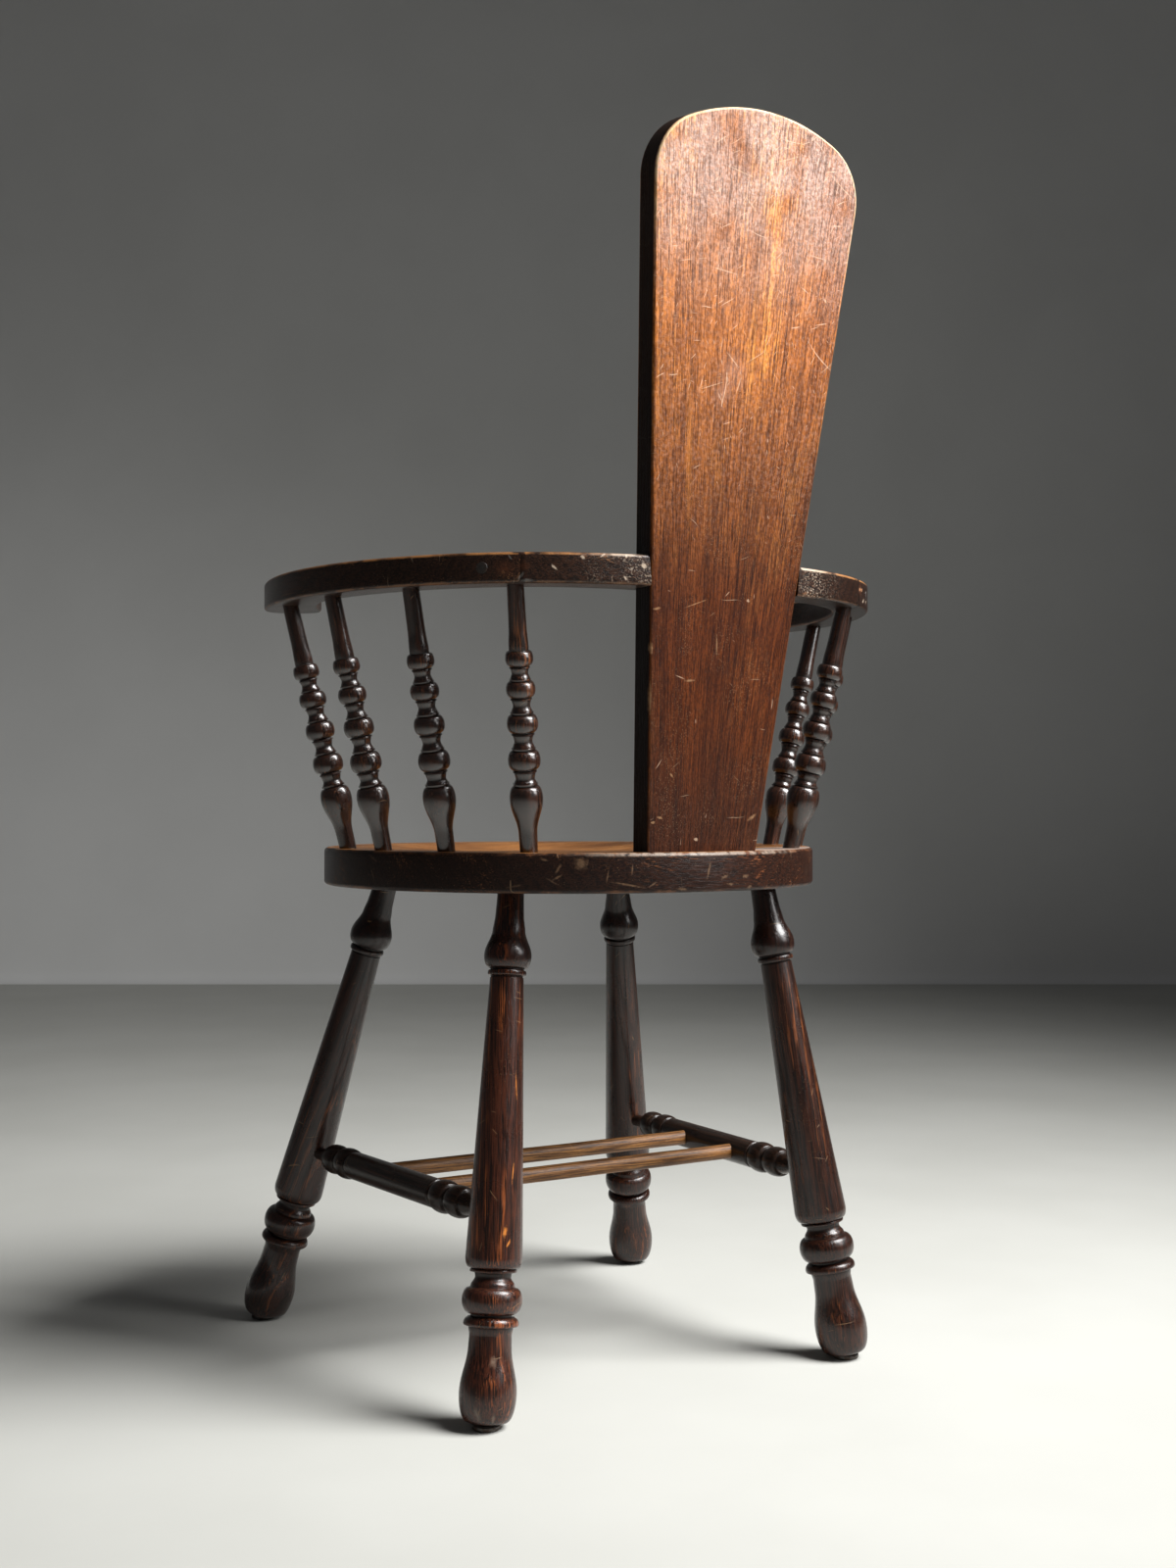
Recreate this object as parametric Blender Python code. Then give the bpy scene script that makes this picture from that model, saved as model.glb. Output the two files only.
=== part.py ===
"""Bobbin armchair: a round seat on four turned legs, eight bobbin spindles under a three-piece arm bow,
and a tall plank back. Metres, +Z up, the sitter faces -Y and the sitter's left is +X. The origin is on
the floor under the middle of the chair's box."""

import math

import bmesh
import bpy
from mathutils import Matrix, Vector

# Fits
FIT_GAP = 0.0003            # clearance between pieces that meet
MERGE = 0.00001             # points closer than this are one point
CUTTER_REACH = 0.012        # how far a cutter stands out of the face that it opens

# Seat board
SEAT_TOP = 0.445
SEAT_DIAMETER = 0.438
SEAT_THICKNESS = 0.0325
SEAT_EDGE_ROUND = 0.004
SEAT_RIM = 0.036            # flat ring that carries the spindles and the plank
SEAT_DISH_DEPTH = 0.006
SEAT_DISH_SLOPE = 0.07      # width of the slope between rim and dish bottom

# Legs: sockets under the seat, inset from its edge and turned from the middle of its front or back,
# and how far each foot stands out from its socket
FRONT_SOCKET_INSET = 0.0477
FRONT_SOCKET_TURN = math.radians(47.4)
FRONT_SPLAY_X = 0.081
FRONT_SPLAY_Y = 0.099
BACK_SOCKET_INSET = 0.0439
BACK_SOCKET_TURN = math.radians(46.7)
BACK_SPLAY_X = 0.0515
BACK_SPLAY_Y = 0.053
LEG_BLANK_DIAMETER = 0.0472     # widest turning
LEG_TENON_DIAMETER = 0.0214
LEG_TENON_DEPTH = 0.019
GLIDE_DIAMETER = 0.0224
GLIDE_HEIGHT = 0.004
GLIDE_NAIL_DIAMETER = 0.003
GLIDE_NAIL_LENGTH = 0.012

# Arm bow
BOW_UNDERSIDE = 0.653
BOW_THICKNESS = 0.024
BOW_RADIUS = 0.2703         # outer face, at the arms
BOW_CENTRE_Y = -0.004
BOW_WIDTH = 0.032
BOW_EDGE_ROUND = 0.0035
BOW_FLAT_REACH = math.radians(50)       # the bow flattens towards the plank inside this angle
RAIL_STRIP = 0.011          # wood left in front of the plank
SCARF_OUTER = math.radians(38.5)        # joint line on the outer face, from the middle of the back
SCARF_INNER = math.radians(56)          # joint line on the inner face
SCARF_OVERRUN = math.radians(8)         # spare length that the scarf cut takes off
ARM_END = math.radians(115)
ARM_PAD_START = math.radians(86)        # the arm widens inwards from here to its end
ARM_PAD_WIDTH = 0.051
ARM_END_LENGTH = 0.024      # rounded stretch at the tip
ARM_END_POWER = 2.5         # 2 is an ellipse, more is squarer

# Screws and plugs
SCREW_HEAD_DIAMETER = 0.0084
SCREW_HEAD_HEIGHT = 0.002
SCREW_SHANK_DIAMETER = 0.0044
PLUG_MARGIN = 0.0003        # the plug is this much wider than the screw's head, all round
PLUG_LENGTH = 0.004
PLUG_PROUD = 0.0002
PLUG_FROM_JOINT = math.radians(6.5)     # plug and screw, from the joint line on the outer face
SCARF_SCREW_LENGTH = 0.016
RAIL_SCREW_X = 0.040
RAIL_SCREW_GRIP = 0.006     # rail wood between screw head and plank
RAIL_SCREW_LENGTH = 0.020
SEAT_SCREW_X = 0.028
SEAT_SCREW_RECESS = 0.003
SEAT_SCREW_LENGTH = 0.045

# Spindles: feet on the seat rim, tops in the bow, at these angles from the middle of the back
SPINDLE_FIRST = math.radians(40)
SPINDLE_STEP = math.radians(20)
SPINDLES_PER_SIDE = 4
SPINDLE_FOOT_INSET = 0.0147     # from the seat's edge
SPINDLE_TOP_INSET = 0.0168      # from the bow's outer face
SPINDLE_BLANK_DIAMETER = 0.0266     # widest ball
SPINDLE_FOOT_DIAMETER = 0.0136
SPINDLE_NECK_DIAMETER = 0.0134
SPINDLE_TENON_DIAMETER = 0.010
SPINDLE_FOOT_DEPTH = 0.018
SPINDLE_TENON_DEPTH = 0.012

# Back plank: back face, measured up its slope from the seat
PLANK_INSET = 0.0085        # seat's edge to the back face at the seat
PLANK_RECLINE = math.radians(8.5)
PLANK_FOOT_WIDTH = 0.107
PLANK_FLARE = math.radians(4.773)       # lean of each side edge
PLANK_LENGTH = 0.581
PLANK_THICKNESS = 0.0232
PLANK_CROWN_RADIUS = 0.165
PLANK_CORNER_RADIUS = 0.048
PLANK_EDGE_ROUND = 0.0025
PLANK_TENON_WIDTH = 0.078
PLANK_TENON_THICKNESS = 0.011
PLANK_TENON_DEPTH = 0.016

# Stretchers and rods
STRETCHER_HEIGHT = 0.160
STRETCHER_NECK_DIAMETER = 0.0114
STRETCHER_TENON_GAP = 0.006     # wood between tenon end and leg axis
STRETCHER_SHAFT_DIAMETER = 0.0246
STRETCHER_BLANK_DIAMETER = 0.0276       # widest bead
ROD_DIAMETER = 0.0136
ROD_SPREAD = 0.0810         # distance between the two rods
ROD_SETBACK = 0.0045        # the pair sits this far behind the stretcher's middle
ROD_TENON_GAP = 0.0035      # wood between rod end and stretcher axis
ROD_END_BEVEL = 0.0008

# Ways a turned surface runs from one station to the next
STRAIGHT = "straight"
TO_CREST = "to_crest"           # ends along the axis, on a crest or a waist
FROM_CREST = "from_crest"       # starts along the axis
SWAY = "sway"                   # S-shaped, along the axis at both ends

# Leg turning: share of the axis from floor to seat, share of the blank's radius, way to get there
LEG_TURNING_SHARES = (
    (-0.007, 0.169, STRAIGHT),      # inside the foot, cut off level with the glide
    (0.065, 0.958, TO_CREST),       # ball foot
    (0.158, 0.695, SWAY),           # ankle
    (0.176, 0.699, STRAIGHT),
    (0.177, 0.784, STRAIGHT),       # collar ring
    (0.185, 0.903, TO_CREST),
    (0.193, 0.784, FROM_CREST),
    (0.197, 0.703, STRAIGHT),       # groove
    (0.223, 1.000, TO_CREST),       # bulge
    (0.247, 0.729, FROM_CREST),
    (0.261, 0.593, TO_CREST),       # cove
    (0.275, 0.729, FROM_CREST),
    (0.283, 0.746, STRAIGHT),
    (0.304, 0.958, TO_CREST),       # shoulder of the long cone
    (0.530, 0.831, STRAIGHT),
    (0.823, 0.581, STRAIGHT),       # top of the cone
    (0.829, 0.551, STRAIGHT),
    (0.838, 0.661, TO_CREST),       # thin ring
    (0.846, 0.589, FROM_CREST),
    (0.869, 0.805, TO_CREST),       # bulb
    (0.950, 0.475, SWAY),           # neck under the seat
)

# Spindle turning: share of the exposed length, crest and waist above it as shares of the blank's radius,
# end of the ball as a share of the way to the next crest
BOBBIN_SHARES = (
    (0.206, 1.000, 0.571, 0.42),
    (0.350, 0.977, 0.541, 0.30),
    (0.488, 0.940, 0.511, 0.30),
    (0.617, 0.880, 0.489, 0.30),
    (0.730, 0.835, 0.571, 0.0),
)
BOBBIN_EDGE_SHARE = 0.70              # radius at the edge of a ball, as a share of its crest
BOBBIN_WAIST_SHARE = 0.52       # place of the waist in the gap between two crests
BOBBIN_FILLET_SHARE = 0.74
SPINDLE_VASE_START_SHARE = 0.080
SPINDLE_VASE_RADIUS_SHARE = 0.579
SPINDLE_NECK_START_SHARE = 0.775

# Stretcher turning, from the end to the middle: share of the distance between leg axes, share of the
# blank's radius, way
STRETCHER_TURNING_SHARES = (
    (0.105, 0.449, STRAIGHT),
    (0.140, 0.688, SWAY),
    (0.168, 0.957, TO_CREST),       # outer bead
    (0.196, 0.739, FROM_CREST),
    (0.205, 0.696, STRAIGHT),
    (0.212, 0.783, STRAIGHT),
    (0.240, 1.000, TO_CREST),       # inner bead
    (0.267, 0.826, FROM_CREST),
    (0.276, 0.819, STRAIGHT),
    (0.282, 0.870, STRAIGHT),       # start of the plain shaft
)

# Facets
SEAT_SIDES = 48
LEG_SIDES = 12
SPINDLE_SIDES = 10
STRETCHER_SIDES = 12
ROD_SIDES = 12
SCREW_SIDES = 10
CURVE_STEPS = 2
DISH_STEPS = 4
BOW_STEP = math.radians(6)
ARM_TIP_STEPS = 6
PLANK_CORNER_STEPS = 5
PLANK_CROWN_STEPS = 6
EDGE_STEPS = 2
SMOOTH_ANGLE = math.radians(40)

# Values that follow from the sizes above
SEAT_UNDERSIDE = SEAT_TOP - SEAT_THICKNESS
SEAT_RADIUS = SEAT_DIAMETER / 2
BOW_MIDDLE_Z = BOW_UNDERSIDE + BOW_THICKNESS / 2
PLUG_ANGLE = SCARF_OUTER + PLUG_FROM_JOINT
PLUG_DIAMETER = SCREW_HEAD_DIAMETER + 2 * PLUG_MARGIN
SPINDLE_FOOT_CIRCLE = SEAT_RADIUS - SPINDLE_FOOT_INSET
SPINDLE_TOP_CIRCLE = BOW_RADIUS - SPINDLE_TOP_INSET
PLANK_BACK_Y = SEAT_RADIUS - PLANK_INSET
SIDES = {"left": 1, "right": -1}


def finish(name, colour, roughness, metallic=0.0):
    """Makes a plain material for one kind of piece."""
    material = bpy.data.materials.new(name)
    material.use_nodes = True
    shader = material.node_tree.nodes["Principled BSDF"]
    shader.inputs["Base Color"].default_value = (*colour, 1.0)
    shader.inputs["Roughness"].default_value = roughness
    shader.inputs["Metallic"].default_value = metallic
    return material


def empty(name, parent=None, location=(0, 0, 0), rotation=(0, 0, 0)):
    """Makes an empty that carries pieces."""
    carrier = bpy.data.objects.new(name, None)
    bpy.context.collection.objects.link(carrier)
    carrier.location = location
    carrier.rotation_euler = rotation
    carrier.parent = parent
    return carrier


def make_object(name, shape, parent, material=None):
    """Turns a bmesh into an object on its carrier. Without a material it is a cutter or a guide."""
    bmesh.ops.recalc_face_normals(shape, faces=shape.faces)
    mesh = bpy.data.meshes.new(name)
    shape.to_mesh(mesh)
    shape.free()
    piece = bpy.data.objects.new(name, mesh)
    bpy.context.collection.objects.link(piece)
    piece.parent = parent
    if material is None:
        piece.hide_render = True
        piece.display_type = "WIRE"
        return piece
    mesh.shade_smooth()
    mesh.set_sharp_from_angle(angle=SMOOTH_ANGLE)
    mesh.materials.append(material)
    return piece


def carve(piece, tool, operation="DIFFERENCE"):
    """Cuts a tool out of a piece, or joins it on."""
    step = piece.modifiers.new(tool.name, "BOOLEAN")
    step.operation = operation
    step.solver = "EXACT"
    step.object = tool


def saw_off(shape, point, normal):
    """Takes away what lies on the normal's side of a plane and closes the cut."""
    everything = shape.verts[:] + shape.edges[:] + shape.faces[:]
    bmesh.ops.bisect_plane(shape, geom=everything, dist=MERGE, plane_co=point, plane_no=normal,
                           clear_outer=True)
    rim = [edge for edge in shape.edges if edge.is_boundary]
    bmesh.ops.holes_fill(shape, edges=rim, sides=0)


def turned(profile, sides):
    """Turns a profile of (radius, height) points, bottom to top, into a closed round shape."""
    shape = bmesh.new()
    points = [shape.verts.new((radius, 0, height)) for radius, height in profile]
    lines = [shape.edges.new(pair) for pair in zip(points, points[1:])]
    bmesh.ops.spin(shape, geom=points + lines, axis=(0, 0, 1), cent=(0, 0, 0), angle=math.tau,
                   steps=sides, use_merge=True)
    bmesh.ops.remove_doubles(shape, verts=shape.verts, dist=MERGE)
    rims = [edge for edge in shape.edges if edge.is_boundary]
    bmesh.ops.holes_fill(shape, edges=rims, sides=0)
    return shape


def rod_shape(radius, start, end, sides):
    """A plain cylinder between two heights on its axis."""
    return turned([(radius, start), (radius, end)], sides)


def slab(outline, thickness, edge_round):
    """Extrudes a plan outline upwards from zero and rounds its upper and lower edges."""
    shape = bmesh.new()
    face = shape.faces.new([shape.verts.new((x, y, 0)) for x, y in outline])
    lifted = bmesh.ops.extrude_face_region(shape, geom=[face])
    upper = [item for item in lifted["geom"] if isinstance(item, bmesh.types.BMVert)]
    bmesh.ops.translate(shape, verts=upper, vec=(0, 0, thickness))
    bmesh.ops.recalc_face_normals(shape, faces=shape.faces)
    if edge_round:
        level = [edge for edge in shape.edges if abs(edge.verts[0].co.z - edge.verts[1].co.z) < MERGE]
        bmesh.ops.bevel(shape, geom=level, offset=edge_round, segments=EDGE_STEPS, profile=0.5,
                        affect="EDGES")
    return shape


def box(low, high):
    """A box between two corners."""
    shape = bmesh.new()
    bmesh.ops.create_cube(shape, size=1)
    size = Vector(high) - Vector(low)
    middle = (Vector(high) + Vector(low)) / 2
    bmesh.ops.scale(shape, verts=shape.verts, vec=size)
    bmesh.ops.translate(shape, verts=shape.verts, vec=middle)
    return shape


def aim(piece, start, end):
    """Puts a piece's origin at a point, with its own Z running to another point."""
    direction = Vector(end) - Vector(start)
    piece.location = start
    piece.rotation_euler = direction.to_track_quat("Z", "Y").to_euler()


def turning_points(stations, length, diameter):
    """Follows turning stations on a blank and gives (radius, height) points, with curves worked out."""
    points = []
    for place, share, way in stations:
        height = place * length
        radius = share * diameter / 2
        if not points or way == STRAIGHT:
            points.append((radius, height))
            continue
        old_radius, old_height = points[-1]
        for step in range(1, CURVE_STEPS + 1):
            part = step / CURVE_STEPS
            turn = part * math.pi / 2
            if way == TO_CREST:
                across, along = math.sin(turn), 1 - math.cos(turn)
            elif way == FROM_CREST:
                across, along = 1 - math.cos(turn), math.sin(turn)
            else:
                across, along = (1 - math.cos(part * math.pi)) / 2, part
            points.append((old_radius + across * (radius - old_radius),
                           old_height + along * (height - old_height)))
    return points


def socket(name, carrier, start, end, radius, depth, sides):
    """A round cutter that opens the face at the start and goes in towards the end."""
    shape = rod_shape(radius + FIT_GAP, -CUTTER_REACH, depth + FIT_GAP, sides)
    tool = make_object(name, shape, carrier)
    aim(tool, start, end)
    return tool


def screw_points(gap, mouth):
    """Profile of a screw's head, seat and shank start, from the outer end of its head inwards."""
    head = SCREW_HEAD_DIAMETER / 2 + gap
    shank = SCREW_SHANK_DIAMETER / 2 + gap
    return [(head, -mouth), (head, SCREW_HEAD_HEIGHT + gap), (shank, SCREW_HEAD_HEIGHT + gap)]


def screw(name, carrier, start, end, length, steel, pieces):
    """Sets a screw with its head at the start and cuts its hole in the pieces that it holds."""
    points = screw_points(0, 0) + [(SCREW_SHANK_DIAMETER / 2, length)]
    body = make_object(name, turned(points, SCREW_SIDES), carrier, steel)
    aim(body, start, end)
    hole_points = screw_points(FIT_GAP, CUTTER_REACH)
    hole_points.append((SCREW_SHANK_DIAMETER / 2 + FIT_GAP, length + FIT_GAP))
    hole = make_object(name + "_hole", turned(hole_points, SCREW_SIDES), carrier)
    aim(hole, start, end)
    for piece in pieces:
        carve(piece, hole)
    return body


def leg_axis(front, side):
    """Floor point and seat point of one leg's axis."""
    if front:
        circle, turn, facing = SEAT_RADIUS - FRONT_SOCKET_INSET, FRONT_SOCKET_TURN, -1
        splay = Vector((FRONT_SPLAY_X, FRONT_SPLAY_Y, 0))
    else:
        circle, turn, facing = SEAT_RADIUS - BACK_SOCKET_INSET, BACK_SOCKET_TURN, 1
        splay = Vector((BACK_SPLAY_X, BACK_SPLAY_Y, 0))
    outwards = Vector((side, facing, 0))
    top = outwards * Vector((circle * math.sin(turn), circle * math.cos(turn), 0))
    foot = top + outwards * splay
    top.z = SEAT_UNDERSIDE
    return foot, top


def leg_point(front, side, height):
    """Point of a leg's axis at a height over the floor."""
    foot, top = leg_axis(front, side)
    return foot.lerp(top, height / SEAT_UNDERSIDE)


def bow_flattening(angle):
    """Share of the flattening at an angle from the middle of the back: 1 there, 0 at its reach."""
    place = min(abs(angle) / BOW_FLAT_REACH, 1)
    return (1 + math.cos(place * math.pi)) / 2


def plank_half_width(height):
    """Half width of the plank at a height up its slope."""
    return PLANK_FOOT_WIDTH / 2 + height * math.tan(PLANK_FLARE)


def plank_back_y(z):
    """Place of the plank's back face at a height over the floor."""
    return PLANK_BACK_Y + (z - SEAT_TOP) * math.tan(PLANK_RECLINE)


def bow_flat_depth():
    """Depth of the flattening that brings the bow's outer face flush with the plank's back edges."""
    x = plank_half_width((BOW_MIDDLE_Z - SEAT_TOP) / math.cos(PLANK_RECLINE))
    y = plank_back_y(BOW_MIDDLE_Z) - BOW_CENTRE_Y
    return (BOW_RADIUS - math.hypot(x, y)) / bow_flattening(math.atan2(x, y))


def bow_outer(angle):
    """Radius of the bow's outer face."""
    return BOW_RADIUS - bow_flat_depth() * bow_flattening(angle)


def rail_swell():
    """Extra width at the middle of the back rail that leaves its strip of wood before the plank."""
    front = plank_back_y(BOW_UNDERSIDE) - PLANK_THICKNESS / math.cos(PLANK_RECLINE)
    inner = front - RAIL_STRIP - BOW_CENTRE_Y
    return bow_outer(0) - BOW_WIDTH - inner


def rail_inner(angle):
    """Radius of the back rail's inner face."""
    place = min(abs(angle) / SCARF_OUTER, 1)
    return bow_outer(angle) - BOW_WIDTH - rail_swell() * (1 + math.cos(place * math.pi)) / 2


def bow_point(angle, radius):
    """Plan point at an angle from the middle of the back, towards +X."""
    return Vector((radius * math.sin(angle), BOW_CENTRE_Y + radius * math.cos(angle)))


def spread(start, end, step):
    """Values from start to end, evenly, about a step apart."""
    count = max(1, round(abs(end - start) / step))
    return [start + (end - start) * i / count for i in range(count + 1)]


def scarf_plane(side):
    """Point of one scarf joint's upright plane, and its normal towards the arm."""
    outer = bow_point(SCARF_OUTER, bow_outer(SCARF_OUTER))
    inner = bow_point(SCARF_INNER, rail_inner(SCARF_INNER))
    along = (inner - outer).normalized()
    point = Vector((side * outer.x, outer.y, 0))
    normal = Vector((side * -along.y, along.x, 0))
    return point, normal


def rail_shape():
    """The back rail between its two scarf joints."""
    reach = SCARF_INNER + SCARF_OVERRUN
    angles = spread(-reach, reach, BOW_STEP)
    outline = [bow_point(angle, bow_outer(angle)) for angle in angles]
    outline += [bow_point(angle, rail_inner(angle)) for angle in reversed(angles)]
    shape = slab(outline, BOW_THICKNESS, BOW_EDGE_ROUND)
    for side in SIDES.values():
        point, normal = scarf_plane(side)
        saw_off(shape, point - normal * FIT_GAP / 2, normal)
    return shape


def arm_half_width(angle):
    """Half width of an arm: plain, then widening to the pad at its end."""
    place = (angle - ARM_PAD_START) / (ARM_END - ARM_PAD_START)
    place = min(max(place, 0), 1)
    ease = place * place * (3 - 2 * place)
    return (BOW_WIDTH + ease * (ARM_PAD_WIDTH - BOW_WIDTH)) / 2


def arm_shape(side):
    """One arm from its scarf joint to its rounded, widened end."""
    tip_angle = ARM_END_LENGTH / BOW_RADIUS
    plain = spread(SCARF_OUTER - SCARF_OVERRUN, ARM_END - tip_angle, BOW_STEP)
    stations = [(angle, 1.0) for angle in plain]
    for step in range(1, ARM_TIP_STEPS + 1):
        turn = step / ARM_TIP_STEPS * math.pi / 2
        along = math.sin(turn) ** (2 / ARM_END_POWER)
        across = max(math.cos(turn), 0) ** (2 / ARM_END_POWER)
        stations.append((ARM_END - tip_angle * (1 - along), across))
    outer, inner = [], []
    for angle, across in stations:
        half = arm_half_width(angle)
        middle = bow_outer(angle) - half
        outer.append(bow_point(angle, middle + half * across))
        inner.append(bow_point(angle, middle - half * across))
    outline = outer + inner[-2::-1]
    return slab([(side * x, y) for x, y in outline], BOW_THICKNESS, BOW_EDGE_ROUND)


def scarf_waste_shape(side):
    """Block that takes the waste off one arm at its scarf joint, with x along the joint from outside in."""
    length = (bow_point(SCARF_INNER, rail_inner(SCARF_INNER)) - scarf_plane(1)[0].xy).length
    low, high = sorted((side * FIT_GAP / 2, -side * BOW_RADIUS))
    return box((-BOW_RADIUS, low, -CUTTER_REACH),
               (length + CUTTER_REACH, high, BOW_THICKNESS + CUTTER_REACH))


def spindle_axis(number, side):
    """Seat point and bow point of one spindle's axis."""
    angle = SPINDLE_FIRST + number * SPINDLE_STEP
    foot = Vector((side * SPINDLE_FOOT_CIRCLE * math.sin(angle),
                   SPINDLE_FOOT_CIRCLE * math.cos(angle), SEAT_TOP))
    top = bow_point(angle, SPINDLE_TOP_CIRCLE)
    return foot, Vector((side * top.x, top.y, BOW_UNDERSIDE))


def spindle_points(length):
    """Spindle profile: vase foot, balls with coves between them, slim neck and tenons."""
    stations = [(0.0, SPINDLE_FOOT_DIAMETER / SPINDLE_BLANK_DIAMETER, STRAIGHT),
                (SPINDLE_VASE_START_SHARE, SPINDLE_VASE_RADIUS_SHARE, STRAIGHT),
                (BOBBIN_SHARES[0][0], BOBBIN_SHARES[0][1], SWAY)]
    for lower, upper in zip(BOBBIN_SHARES, BOBBIN_SHARES[1:]):
        place, crest, waist, ball_end = lower
        gap = upper[0] - place
        stations.append((place + ball_end * gap, BOBBIN_EDGE_SHARE * crest, FROM_CREST))
        stations.append((place + BOBBIN_WAIST_SHARE * gap, waist, STRAIGHT))
        stations.append((place + BOBBIN_FILLET_SHARE * gap, BOBBIN_EDGE_SHARE * upper[1], STRAIGHT))
        stations.append((upper[0], upper[1], TO_CREST))
    stations.append((SPINDLE_NECK_START_SHARE, BOBBIN_SHARES[-1][2], FROM_CREST))
    neck_end = length - spindle_shoulder()
    points = [(SPINDLE_FOOT_DIAMETER / 2, -SPINDLE_FOOT_DEPTH)]
    points += turning_points(stations, length, SPINDLE_BLANK_DIAMETER)
    points.append((SPINDLE_NECK_DIAMETER / 2, neck_end))
    points.append((SPINDLE_TENON_DIAMETER / 2, neck_end))
    points.append((SPINDLE_TENON_DIAMETER / 2, length + SPINDLE_TENON_DEPTH))
    return points


def spindle_shoulder():
    """How far below the bow the spindle's neck ends, so that its tilted shoulder stays clear."""
    foot, top = spindle_axis(0, 1)
    lean = math.hypot(top.x - foot.x, top.y - foot.y) / (top.z - foot.z)
    return SPINDLE_NECK_DIAMETER / 2 * lean + FIT_GAP


def plank_outline(grow=0.0):
    """Outline of the plank's face, as (across, up) points, from below the seat to the crown and back."""
    along = Vector((math.sin(PLANK_FLARE), math.cos(PLANK_FLARE)))
    inwards = Vector((-math.cos(PLANK_FLARE), math.sin(PLANK_FLARE)))
    foot = Vector((PLANK_FOOT_WIDTH / 2, 0)) - inwards * grow
    corner = PLANK_CORNER_RADIUS + grow
    crown = PLANK_CROWN_RADIUS + grow
    crown_centre = Vector((0, PLANK_LENGTH - PLANK_CROWN_RADIUS))
    start = foot + inwards * corner - crown_centre
    reach = crown - corner
    half = start.dot(along)
    run = -half + math.sqrt(half * half - start.dot(start) + reach * reach)
    corner_centre = crown_centre + start + along * run
    towards = corner_centre - crown_centre
    turn_end = math.atan2(towards.y, towards.x)
    below = -2 * SEAT_THICKNESS
    right = [foot + along * (below / along.y)]
    for turn in spread(-PLANK_FLARE, turn_end, (turn_end + PLANK_FLARE) / PLANK_CORNER_STEPS):
        right.append(corner_centre + corner * Vector((math.cos(turn), math.sin(turn))))
    crown_turns = spread(turn_end, math.pi - turn_end, (math.pi - 2 * turn_end) / PLANK_CROWN_STEPS)
    top = [crown_centre + crown * Vector((math.cos(turn), math.sin(turn))) for turn in crown_turns]
    left = [Vector((-point.x, point.y)) for point in reversed(right)]
    return right + top[1:-1] + left


def plank_shape():
    """The plank in its own frame: back face on y = 0, up along z, cut level with the seat at its foot."""
    shape = slab(plank_outline(), PLANK_THICKNESS, PLANK_EDGE_ROUND)
    bmesh.ops.rotate(shape, verts=shape.verts, cent=(0, 0, 0), matrix=Matrix.Rotation(math.pi / 2, 3, "X"))
    down = Vector((0, math.sin(PLANK_RECLINE), -math.cos(PLANK_RECLINE)))
    saw_off(shape, -down * FIT_GAP, down)
    return shape


def housing_shape():
    """Cutter for the notch that takes the plank in the back rail: all that lies behind its front face."""
    depth = PLANK_THICKNESS + FIT_GAP
    shape = slab(plank_outline(grow=FIT_GAP), depth + BOW_WIDTH, 0)
    bmesh.ops.translate(shape, verts=shape.verts, vec=(0, 0, -BOW_WIDTH))
    bmesh.ops.rotate(shape, verts=shape.verts, cent=(0, 0, 0), matrix=Matrix.Rotation(math.pi / 2, 3, "X"))
    return shape


def plank_tenon(grow, rise):
    """The plank's foot tenon, or with growth the mortise for it."""
    middle = -PLANK_THICKNESS / 2
    half = PLANK_TENON_THICKNESS / 2 + grow
    width = PLANK_TENON_WIDTH / 2 + grow
    return box((-width, middle - half, -PLANK_TENON_DEPTH - grow), (width, middle + half, rise))


def seat_shape():
    """The seat board: flat below, rounded at the edge, dished inside a flat rim."""
    edge = SEAT_EDGE_ROUND
    profile = [(SEAT_RADIUS - edge, SEAT_UNDERSIDE)]
    for step in range(1, EDGE_STEPS + 1):
        turn = step / EDGE_STEPS * math.pi / 2
        profile.append((SEAT_RADIUS - edge + edge * math.sin(turn),
                        SEAT_UNDERSIDE + edge - edge * math.cos(turn)))
    for step in range(EDGE_STEPS + 1):
        turn = step / EDGE_STEPS * math.pi / 2
        profile.append((SEAT_RADIUS - edge + edge * math.cos(turn), SEAT_TOP - edge + edge * math.sin(turn)))
    rim_edge = SEAT_RADIUS - SEAT_RIM
    for step in range(DISH_STEPS + 1):
        part = step / DISH_STEPS
        drop = SEAT_DISH_DEPTH * (1 - math.cos(part * math.pi)) / 2
        profile.append((rim_edge - SEAT_DISH_SLOPE * part, SEAT_TOP - drop))
    return turned(profile, SEAT_SIDES)


def stretcher_points(length):
    """Stretcher profile between two leg axes, alike at both ends."""
    half = [(STRETCHER_NECK_DIAMETER / 2, STRETCHER_TENON_GAP)]
    half += turning_points(STRETCHER_TURNING_SHARES, length, STRETCHER_BLANK_DIAMETER)
    other = [(radius, length - height) for radius, height in reversed(half)]
    return half + [(STRETCHER_SHAFT_DIAMETER / 2, length / 2)] + other


def make_finishes():
    """Materials of the pieces, by kind."""
    return {
        "seat": finish("seat_wood", (0.095, 0.042, 0.024), 0.42),
        "plank": finish("plank_wood", (0.16, 0.062, 0.032), 0.40),
        "bow": finish("bow_wood", (0.045, 0.024, 0.016), 0.42),
        "spindle": finish("spindle_wood", (0.05, 0.022, 0.014), 0.30),
        "leg": finish("leg_wood", (0.055, 0.022, 0.014), 0.34),
        "stretcher": finish("stretcher_wood", (0.03, 0.017, 0.013), 0.30),
        "rod": finish("rod_wood", (0.20, 0.11, 0.055), 0.45),
        "plug": finish("plug_wood", (0.03, 0.018, 0.014), 0.50),
        "screw": finish("screw_steel", (0.42, 0.40, 0.37), 0.40, 1.0),
        "glide": finish("glide_metal", (0.03, 0.028, 0.026), 0.45, 0.8),
    }


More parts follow.
